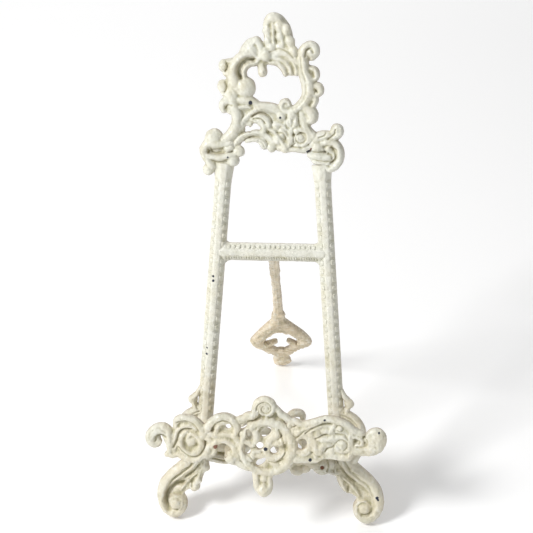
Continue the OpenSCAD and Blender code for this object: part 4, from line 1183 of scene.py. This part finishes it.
# ---------------------------------------------------------------- bars, arms and leg
def bar_profile(width, band, thick=8.0):
    """Half-round-cornered section across a bar: rows of across, d."""
    w, b = width / 2, band / 2
    f, s = BACK + thick, BACK + thick * 0.4
    half = [[0, f], [b * 0.6, f], [b, f - 0.1], [b + 0.5, f - 0.5], [(b + w) / 2, (f + s) / 2 - 0.25],
            [w - 0.7, s + 0.75], [w - 0.12, s + 0.05], [w, s - 0.7], [w, (s + BACK) / 2],
            [w - 0.1, BACK + 0.35], [w - 0.6, BACK], [w * 0.5, BACK]]
    return half + [[0, BACK]] + [[-a, d] for a, d in half[:0:-1]]


def bar(name, a, b, width, flare=(), rows=(), seed=3, swell=None, chips=()):
    """A long moulded bar between two points of the frame's plane, sunk and darkened between its pads: partly dirt,
    partly painted shade.
    """
    a, b = np.array(a, float), np.array(b, float)
    long = np.linalg.norm(b - a)
    t = (b - a) / long
    nx = np.array([-t[1], t[0]])
    prof = np.array(bar_profile(width, BAND))
    n = int(long / 0.7)
    v, dirt_and_shade = [], []
    for i in range(n + 1):
        s = long * i / n
        wide = 1.0
        for end in flare:
            gap = abs(s - end)
            if gap < 5:
                wide = max(wide, 1 + 0.45 * (1 - gap / 5) ** 2.4)
        if swell and s > swell:
            wide += 0.2 * min(1, (s - swell) / 16) ** 1.5
        for q, d in prof:
            v.append([*(a + t * s + nx * q * wide), d])
            between = 0
            for side, first, pitch, count in rows:
                k = (s - first) / pitch
                if side * q > 1.9 and d > 0.8 and -0.7 < k < count - 0.3:
                    between = 0.5 - 0.5 * math.cos(2 * math.pi * k)
            dirt_and_shade.append(0.95 * between ** 1.4)
    m = len(prof)
    f = [[i * m + j, i * m + (j + 1) % m, (i + 1) * m + (j + 1) % m, (i + 1) * m + j]
         for i in range(n) for j in range(m)]
    f += [list(range(m))[::-1], [n * m + j for j in range(m)]]
    p = np.array(v)
    wave = lumps_at(p, 1.7, seed) * 0.10 + lumps_at(p, 6, seed + 4) * 0.14
    p[:, 2] += np.where(p[:, 2] > 0, wave - 0.25 * np.array(dirt_and_shade), 0)
    ob = mesh_object(name, p, f)
    flip_outwards(ob)
    # The mask between the pads also darkens the paint: partly dirt, partly painted shade.
    wear_and_light_marks(ob.data, p, chips, extra=np.array(dirt_and_shade))
    return ob, p


def flip_outwards(ob):
    """Turns a closed mesh right side out."""
    me = ob.data
    me.update()
    me.calc_loop_triangles()
    co = points_of(me)
    tri = np.empty(len(me.loop_triangles) * 3, np.int32)
    me.loop_triangles.foreach_get("vertices", tri)
    a, b, c = (co[tri.reshape(-1, 3)[:, k]] for k in range(3))
    if np.einsum("ij,ij->i", a, np.cross(b, c)).sum() < 0:
        me.flip_normals()
    me.update()


def settle(ob, p, placing=place):
    """Moves a finished piece from its drawing to its place."""
    ob.data.polygons.foreach_set("use_smooth", np.ones(len(ob.data.polygons), bool))
    move_points(ob.data, placing(p))
    return ob


def pad_row_tree():
    """A row of raised pads along a line: their number, sizes and outward direction are its inputs."""
    g = bpy.data.node_groups.new("Pad row", "GeometryNodeTree")
    face = g.interface
    face.new_socket(name="Geometry", in_out="INPUT", socket_type="NodeSocketGeometry")
    for label, kind, default in (("Count", "Int", 10), ("Length", "Float", 0.0018),
                                 ("Width", "Float", 0.0019), ("Height", "Float", 0.0006),
                                 ("Along", "Vector", (0, 0, 1)), ("Outward", "Vector", (0, -1, 0)),
                                 ("Seed", "Int", 4)):
        face.new_socket(name=label, in_out="INPUT", socket_type="NodeSocket" + kind).default_value = default
    face.new_socket(name="Paint", in_out="INPUT", socket_type="NodeSocketMaterial")
    face.new_socket(name="Geometry", in_out="OUTPUT", socket_type="NodeSocketGeometry")
    i, o = node(g, "NodeGroupInput").outputs, node(g, "NodeGroupOutput").inputs
    to_curve = node(g, "GeometryNodeMeshToCurve")
    g.links.new(i["Geometry"], to_curve.inputs["Mesh"])
    pts = node(g, "GeometryNodeCurveToPoints", mode="COUNT")
    g.links.new(to_curve.outputs["Curve"], pts.inputs["Curve"])
    g.links.new(i["Count"], pts.inputs["Count"])
    block = node(g, "GeometryNodeMeshCube")
    block.inputs["Size"].default_value = (2, 2, 2)
    for axis in "XYZ":
        block.inputs["Vertices " + axis].default_value = 3
    pad = node(g, "GeometryNodeSubdivisionSurface")
    pad.inputs["Level"].default_value = 1
    g.links.new(block.outputs["Mesh"], pad.inputs["Mesh"])
    size = node(g, "ShaderNodeCombineXYZ")
    for label, axis in (("Height", "X"), ("Width", "Y"), ("Length", "Z")):
        g.links.new(i[label], size.inputs[axis])
    vary = node(g, "FunctionNodeRandomValue", data_type="FLOAT")
    vary.inputs[2].default_value, vary.inputs[3].default_value = 0.82, 1.06
    g.links.new(i["Seed"], vary.inputs["Seed"])
    scaled = node(g, "ShaderNodeVectorMath", operation="SCALE")
    g.links.new(size.outputs[0], scaled.inputs[0])
    g.links.new(vary.outputs[1], scaled.inputs["Scale"])
    turn = node(g, "FunctionNodeAxesToRotation", primary_axis="Z", secondary_axis="X")
    g.links.new(i["Along"], turn.inputs[0])
    g.links.new(i["Outward"], turn.inputs[1])
    put = node(g, "GeometryNodeInstanceOnPoints")
    g.links.new(pts.outputs["Points"], put.inputs["Points"])
    g.links.new(pad.outputs["Mesh"], put.inputs["Instance"])
    g.links.new(turn.outputs[0], put.inputs["Rotation"])
    g.links.new(scaled.outputs[0], put.inputs["Scale"])
    real = node(g, "GeometryNodeRealizeInstances")
    g.links.new(put.outputs[0], real.inputs[0])
    smooth = node(g, "GeometryNodeSetShadeSmooth")
    g.links.new(real.outputs[0], smooth.inputs[0])
    mat = node(g, "GeometryNodeSetMaterial")
    g.links.new(smooth.outputs[0], mat.inputs["Geometry"])
    g.links.new(i["Paint"], mat.inputs["Material"])
    g.links.new(mat.outputs[0], o["Geometry"])
    return g


def pad_row(name, a, b, count, outward, length, width, height):
    """Raised pads on a bar's slope from a to b; outward is the slope's normal as x, u, d."""
    me = bpy.data.meshes.new(name)
    ends = place([a, b])
    me.from_pydata([tuple(x) for x in ends], [(0, 1)], [])
    ob = bpy.data.objects.new(name, me)
    bpy.context.scene.collection.objects.link(ob)
    m = ob.modifiers.new("Pads", "NODES")
    tree = bpy.data.node_groups.get("Pad row") or pad_row_tree()
    m.node_group = tree
    ids = {s.name: s.identifier for s in tree.interface.items_tree if s.in_out == "INPUT"}
    m[ids["Count"]] = count
    m[ids["Length"]], m[ids["Width"]], m[ids["Height"]] = length, width, height
    m[ids["Along"]] = Vector(ends[1] - ends[0]).normalized()
    m[ids["Outward"]] = (outward[0] * ACROSS + outward[1] * UP + outward[2] * OUT).normalized()
    m[ids["Paint"]] = cream_paint()
    apply_modifiers(ob)
    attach(ob, "frame")
    return ob


def post_line(u, q, d):
    """A point on the right post: u up the frame, q across it, d out."""
    return [POST_X - (u - CROSS_U) * math.tan(SPLAY) + q * math.cos(SPLAY), u + q * math.sin(SPLAY), d]


def leg_bar_relief():
    """The leg's ridged bar, with a small ball beside the pin."""
    r = Relief(-3.0)
    r.ball(-1.4, -5.6, 2.3, -1)
    r.stroke([[0, 5, 8.6, 2.6], [0.1, 40, 7.6, 2.4], [0.4, 80, 7.6, 2.4], [0.2, 112, 8.4, 2.6],
              [0, 128, 9.6, 2.8]], crown="flat", wall=0.55)
    r.stroke([[0, 4, 2.6, 3.6], [0.2, 50, 2.4, 3.3], [0.5, 90, 2.4, 3.3], [0, 132, 3, 3.8]], crown="ridge",
             wall=0.6)
    return r


def eye(x0, x1, inner, outer):
    """A collar along x round the pin, with rounded rims: rows of x, s, d and faces."""
    prof = [(x0, inner), (x0, outer - 1), (x0 + 1, outer), (x1 - 1, outer), (x1, outer - 1), (x1, inner)]
    n, m = 36, len(prof)
    v = [[x, r * math.sin(2 * math.pi * k / n), r * math.cos(2 * math.pi * k / n)] for k in range(n) for x,
         r in prof]
    f = [[k * m + j, k * m + (j + 1) % m, (k + 1) % n * m + (j + 1) % m, (k + 1) % n * m + j]
         for k in range(n) for j in range(m)]
    return v, f


def leg_relief():
    """The leg's openwork foot: two bowed sides, inner hooks and a round pad."""
    r = Relief(-2.5, fat=1.08)
    r.stroke([[0, 122, 9.6, 2.4], [-0.2, 134, 10, 2.6], [-7, 150, 11, 2.8], [-13, 164, 12, 2.6],
              [-19, 178, 12, 2.6], [-21.6, 187, 12, 2.6], [-16, 196, 11, 2.4], [-8.6, 205, 10, 2.4],
              [-3.4, 213, 10, 2.4]], crown="flat")
    r.stroke([[0, 122, 9.6, 2.4], [0.2, 134, 10, 2.6], [8, 150, 11, 2.8], [15, 163, 12, 2.6],
              [21, 177, 12, 2.6], [22, 186, 12, 2.6], [15.6, 195, 11, 2.4], [8.6, 204, 10, 2.4],
              [3.4, 213, 10, 2.4]], crown="flat")
    r.stroke([[0, 124, 3, 3.4], [0, 136, 3.4, 3.6], [-3, 146, 3, 3.2]], crown="ridge")
    r.sheet([[-6, 140], [6, 140], [13, 160], [9, 166], [0, 162], [-9, 166], [-13, 160]], 2.2)
    r.stroke([[-20, 192, 6, 2.4], [-12, 190, 5, 2.6], [-5, 184, 4, 2.4]])
    r.stroke([[20, 192, 6, 2.4], [14, 189, 5, 2.6], [8, 182, 4, 2.4]])
    r.ball(-21, 186, 5.6, -1.4, 0.8).ball(21.6, 185, 5.6, -1.4, 0.8)
    r.stroke([[0, 206, 9, 2.4], [0, 216, 11, 2.6], [0, 226, 15, 2.8], [0, 229, 16, 2.8]], crown="flat")
    r.ball(0, 229.4, 8.7, -0.6, 0.5)
    r.groove([[-3, 150], [-9, 162], [-15, 176], [-17, 186]], 1.6, 0.8)
    r.groove([[3, 150], [10, 162], [17, 176], [18, 186]], 1.6, 0.8)
    r.groove([[-5, 212], [0, 208], [5, 212]], 1.6, 0.8)
    return r


# ---------------------------------------------------------------- operators
class EASEL_OT_crest(bpy.types.Operator):
    """Crest: plume, cartouche scrolls and the bridge of fronds"""
    bl_idname = "easel.crest"
    bl_label = "Crest"

    def execute(self, context):
        ob = fuse(crest_relief(), "crest", seed=1)
        finish_piece(ob, cream_paint(), "frame", "cream_paint", "crest_plume", "crest_arch", "crest_leaves",
                     "crest_left_scroll", "crest_right_scroll")
        return {"FINISHED"}


class EASEL_OT_capitals(bpy.types.Operator):
    """Scrolled capitals on top of both posts"""
    bl_idname = "easel.capitals"
    bl_label = "Capitals"

    def execute(self, context):
        for name, r in (("left_capital", left_capital_relief()), ("right_capital", right_capital_relief())):
            finish_piece(fuse(r, name + "_cast", seed=5), cream_paint(), "frame", "cream_paint", name)
        return {"FINISHED"}


class EASEL_OT_bars(bpy.types.Operator):
    """Posts and crossbar with the raised pads on their slopes"""
    bl_idname = "easel.bars"
    bl_label = "Posts and crossbar"

    def execute(self, context):
        pitch, high = sizes().pad_pitch * 1000, sizes().pad_height
        first, count = POST_PADS[0], int(POST_PADS[1] / pitch) + 1
        for s, name in ((-1, "left_post"), (1, "right_post")):
            ends = [[s * post_line(u, 0, 0)[0], u] for u in POST_ENDS]
            rows = [(side, first, pitch, count) for side in (1, -1)]
            chips = [(s * post_line(CROSS_U - drop, 0, 0)[0] + q, CROSS_U - drop, r)
                     for drop, q, r in POST_CHIPS if s < 0]
            ob, p = bar(name + "_cast", *ends, POST_WIDTH, rows=rows, seed=3 + s, swell=POST_SWELL,
                        chips=chips)
            finish_piece(settle(ob, p), cream_paint(), "frame", "cream_paint", name)
            low = POST_ENDS[0] + first * math.cos(SPLAY)
            high_end = low + (count - 1) * pitch * math.cos(SPLAY)
            for q, side in ((-4.25, "inner"), (4.25, "outer")):
                a, b = post_line(low, q, 2.5), post_line(high_end, q, 2.5)
                pad_row(name + "_pads_" + side, [s * a[0], *a[1:]], [s * b[0], *b[1:]], count,
                        (s * math.copysign(0.76, q), 0, 0.65), 0.0021, 0.0023, high)
        lower = CROSS_PADS[0]
        # Dirt and painted shade between the crossbar's lower pads.
        dirt_and_shade = (lower[0], lower[1] + CROSS_OVERLAP, *lower[2:])
        ends = [[s * (CROSS_HALF + CROSS_OVERLAP), CROSS_U] for s in (-1, 1)]
        ob, p = bar("crossbar_cast", *ends, CROSS_WIDTH, [CROSS_OVERLAP + f for f in CROSS_FLARE], (dirt_and_shade,), 9)
        p[:, 2] = np.where(p[:, 2] > 0, p[:, 2] - CROSS_DROP, p[:, 2])
        finish_piece(settle(ob, p), cream_paint(), "frame", "cream_paint", "crossbar")
        for side, start, step, number in CROSS_PADS:
            u = CROSS_U + side * 4.6
            a, b = [-CROSS_HALF + start, u, 2.6], [-CROSS_HALF + start + step * (number - 1), u, 2.6]
            pad_row("crossbar_pads_%s" % ("upper" if side > 0 else "lower"), a, b, number,
                    (0, side * 0.7, 0.7), step * 0.0003, 0.0018, high * 0.75)
        return {"FINISHED"}


class EASEL_OT_feet(bpy.types.Operator):
    """Scroll feet with their leaves and spurs"""
    bl_idname = "easel.feet"
    bl_label = "Feet"

    def execute(self, context):
        for left, name in ((True, "left_foot"), (False, "right_foot")):
            finish_piece(fuse(foot_relief(left), name + "_cast", seed=11), cream_paint(), "frame",
                         "cream_paint", name)
        return {"FINISHED"}


class EASEL_OT_apron(bpy.types.Operator):
    """Apron behind the ledge and the scrolled brackets beside the posts"""
    bl_idname = "easel.apron"
    bl_label = "Apron and brackets"

    def execute(self, context):
        # The apron gets the greyer paint as painted shade.
        finish_piece(fuse(apron_relief(), "apron_cast", seed=13), shaded_apron_paint(), "frame", "cream_paint",
                     "apron")
        for left, name in ((True, "left_bracket"), (False, "right_bracket")):
            finish_piece(fuse(bracket_relief(left), name + "_cast", seed=15), cream_paint(), "frame",
                         "cream_paint", name)
        return {"FINISHED"}


class EASEL_OT_ledge(bpy.types.Operator):
    """Openwork ledge in three runs: left wing, medallion and right wing"""
    bl_idname = "easel.ledge"
    bl_label = "Ledge"

    def execute(self, context):
        for draw, name, replaced in (
                (ledge_left_relief, "ledge_left", ("ledge_left_wing", "ledge_left_curl")),
                (ledge_middle_relief, "ledge_middle", ("ledge_medallion", "ledge_top_curl", "ledge_drop")),
                (ledge_right_relief, "ledge_right", ("ledge_right_wing", "ledge_right_curl"))):
            ob = fuse(draw(), name, seed=17)
            finish_piece(ob, cream_paint(), "frame", "cream_paint", *replaced)
        return {"FINISHED"}


class EASEL_OT_leg(bpy.types.Operator):
    """Rear leg: ridged bar and openwork foot"""
    bl_idname = "easel.leg"
    bl_label = "Rear leg"

    def execute(self, context):
        ob = fuse(leg_relief(), "leg_foot_cast", place_leg, lump=2.6, seed=23)
        finish_piece(ob, leg_paint(), "rear_leg", "worn_paint", "leg_foot")
        collar = mesh_object("leg_eye_cast", *eye(-4.6, 4.6, 2.15, 5.2))
        settle(collar, points_of(collar.data), place_leg)
        flip_outwards(collar)
        finish_piece(collar, leg_paint(), "rear_leg", "worn_paint")
        ob = fuse(leg_bar_relief(), "leg_bar_cast", place_leg, lump=1.5, seed=29)
        finish_piece(ob, leg_paint(), "rear_leg", "worn_paint", "leg_bar")
        return {"FINISHED"}


class EASEL_OT_hardware(bpy.types.Operator):
    """Paint and rust on the arms, ears and screws"""
    bl_idname = "easel.hardware"
    bl_label = "Hardware"

    def execute(self, context):
        for name, mat in (("ledge_left_arm", back_paint()), ("ledge_right_arm", back_paint()),
                          ("hinge_lugs", back_paint()), ("ledge_screws", rusty_steel()),
                          ("hinge_pin", rusty_steel()), ("hinge_nut", rusty_steel())):
            me = frame["nodes"][name].data
            me.materials.clear()
            me.materials.append(mat)
        return {"FINISHED"}


# name, place, what it points at, size in metres, watts
LIGHTS = (("key", (-1.15, -0.75, 1.3), (0, 0, 0.18), 0.5, 25),
          ("fill", (1.3, -1.0, 0.9), (0, 0, 0.18), 1.2, 1.2),
          ("back", (-0.3, 1.7, 1.5), (0, 0.5, 0.0), 1.0, 9))
CAMERA_LENS = 81.05                                # millimetres
CAMERA_AIM = (4.0, 33.0, -1.0)                     # degrees: round to the right, downwards, roll
CAMERA_AT = (0.0504778, -0.7072607, 0.7073070)     # metres from the foot of the frame's plane
SKY, SKY_SEEN = 0.44, 0.5                          # the world's light, and what the camera sees on top


class EASEL_OT_studio(bpy.types.Operator):
    """Pale floor, soft lights and the camera"""
    bl_idname = "easel.studio"
    bl_label = "Studio"

    def execute(self, context):
        floor = mesh_object("floor", [(-4, -4, 0), (4, -4, 0), (4, 4, 0), (-4, 4, 0)], [(0, 1, 2, 3)])
        mat = bpy.data.materials.new("pale_floor")
        mat.use_nodes = True
        b = mat.node_tree.nodes["Principled BSDF"]
        b.inputs["Base Color"].default_value = (0.97, 0.97, 0.97, 1)
        b.inputs["Roughness"].default_value = 0.9
        b.inputs["Emission Color"].default_value = (1, 1, 1, 1)
        seen = node(mat.node_tree, "ShaderNodeLightPath").outputs["Is Camera Ray"]
        here = node(mat.node_tree, "ShaderNodeTexCoord").outputs["Object"]
        away = node(mat.node_tree, "ShaderNodeVectorMath", operation="LENGTH")
        mat.node_tree.links.new(here, away.inputs[0])
        glow = remap(mat.node_tree, away.outputs["Value"], 0.9, 3.2, 0.08, 0.53)
        glow = math_node(mat.node_tree, "MULTIPLY", seen, glow)
        mat.node_tree.links.new(glow, b.inputs["Emission Strength"])
        floor.data.materials.append(mat)
        world = bpy.data.worlds.new("studio")
        world.use_nodes = True
        world.node_tree.nodes["Background"].inputs[0].default_value = (1, 1, 1, 1)
        seen = node(world.node_tree, "ShaderNodeLightPath").outputs["Is Camera Ray"]
        glow = math_node(world.node_tree, "MULTIPLY_ADD", seen, SKY_SEEN, SKY)
        world.node_tree.links.new(glow, world.node_tree.nodes["Background"].inputs[1])
        context.scene.world = world
        context.scene.view_settings.view_transform = "Standard"
        for name, at, look, size, watts in LIGHTS:
            light = bpy.data.lights.new(name, "AREA")
            light.shape, light.size, light.energy = "DISK", size, watts
            ob = bpy.data.objects.new(name, light)
            ob.location = at
            ob.rotation_mode = "QUATERNION"
            ob.rotation_quaternion = (Vector(look) - Vector(at)).to_track_quat("-Z", "Y")
            context.scene.collection.objects.link(ob)
        cam = bpy.data.cameras.new("camera")
        cam.lens, cam.sensor_width = CAMERA_LENS, 36
        ob = bpy.data.objects.new("camera", cam)
        context.scene.collection.objects.link(ob)
        a, e, roll = (math.radians(x) for x in CAMERA_AIM)
        ahead = Vector((-math.sin(a) * math.cos(e), math.cos(a) * math.cos(e), -math.sin(e)))
        right = Vector((math.cos(a), math.sin(a), 0))
        up = right.cross(ahead)
        right, up = right * math.cos(roll) + up * math.sin(roll), up * math.cos(roll) - right * math.sin(roll)
        ob.location = ZERO + Vector(CAMERA_AT)
        ob.rotation_mode = "QUATERNION"
        ob.rotation_quaternion = Matrix((right, up, -ahead)).transposed().to_quaternion()
        context.scene.camera = ob
        return {"FINISHED"}


PIECES = (EASEL_OT_crest, EASEL_OT_capitals, EASEL_OT_bars, EASEL_OT_feet, EASEL_OT_apron, EASEL_OT_ledge,
          EASEL_OT_leg, EASEL_OT_hardware, EASEL_OT_studio)


class EASEL_PT_panel(bpy.types.Panel):
    """Sizes, colours and pieces of the easel"""
    bl_idname = "EASEL_PT_panel"
    bl_label = "Display easel"
    bl_space_type = "VIEW_3D"
    bl_region_type = "UI"
    bl_category = "Easel"

    def draw(self, context):
        for group in (context.scene.easel_sizes, context.scene.easel_colours):
            box = self.layout.box()
            for name in group.bl_rna.properties.keys():
                if name not in ("rna_type", "name"):
                    box.prop(group, name)
        for piece in PIECES:
            self.layout.operator(piece.bl_idname)


CLASSES = (EaselSizes, EaselColours, *PIECES, EASEL_PT_panel)


def register():
    for c in CLASSES:
        bpy.utils.register_class(c)
    bpy.types.Scene.easel_sizes = PointerProperty(type=EaselSizes)
    bpy.types.Scene.easel_colours = PointerProperty(type=EaselColours)


def unregister():
    del bpy.types.Scene.easel_colours
    del bpy.types.Scene.easel_sizes
    for c in reversed(CLASSES):
        bpy.utils.unregister_class(c)


def main():
    register()
    for piece in PIECES:
        group, name = piece.bl_idname.split(".")
        getattr(getattr(bpy.ops, group), name)()


if __name__ == "__main__":
    main()
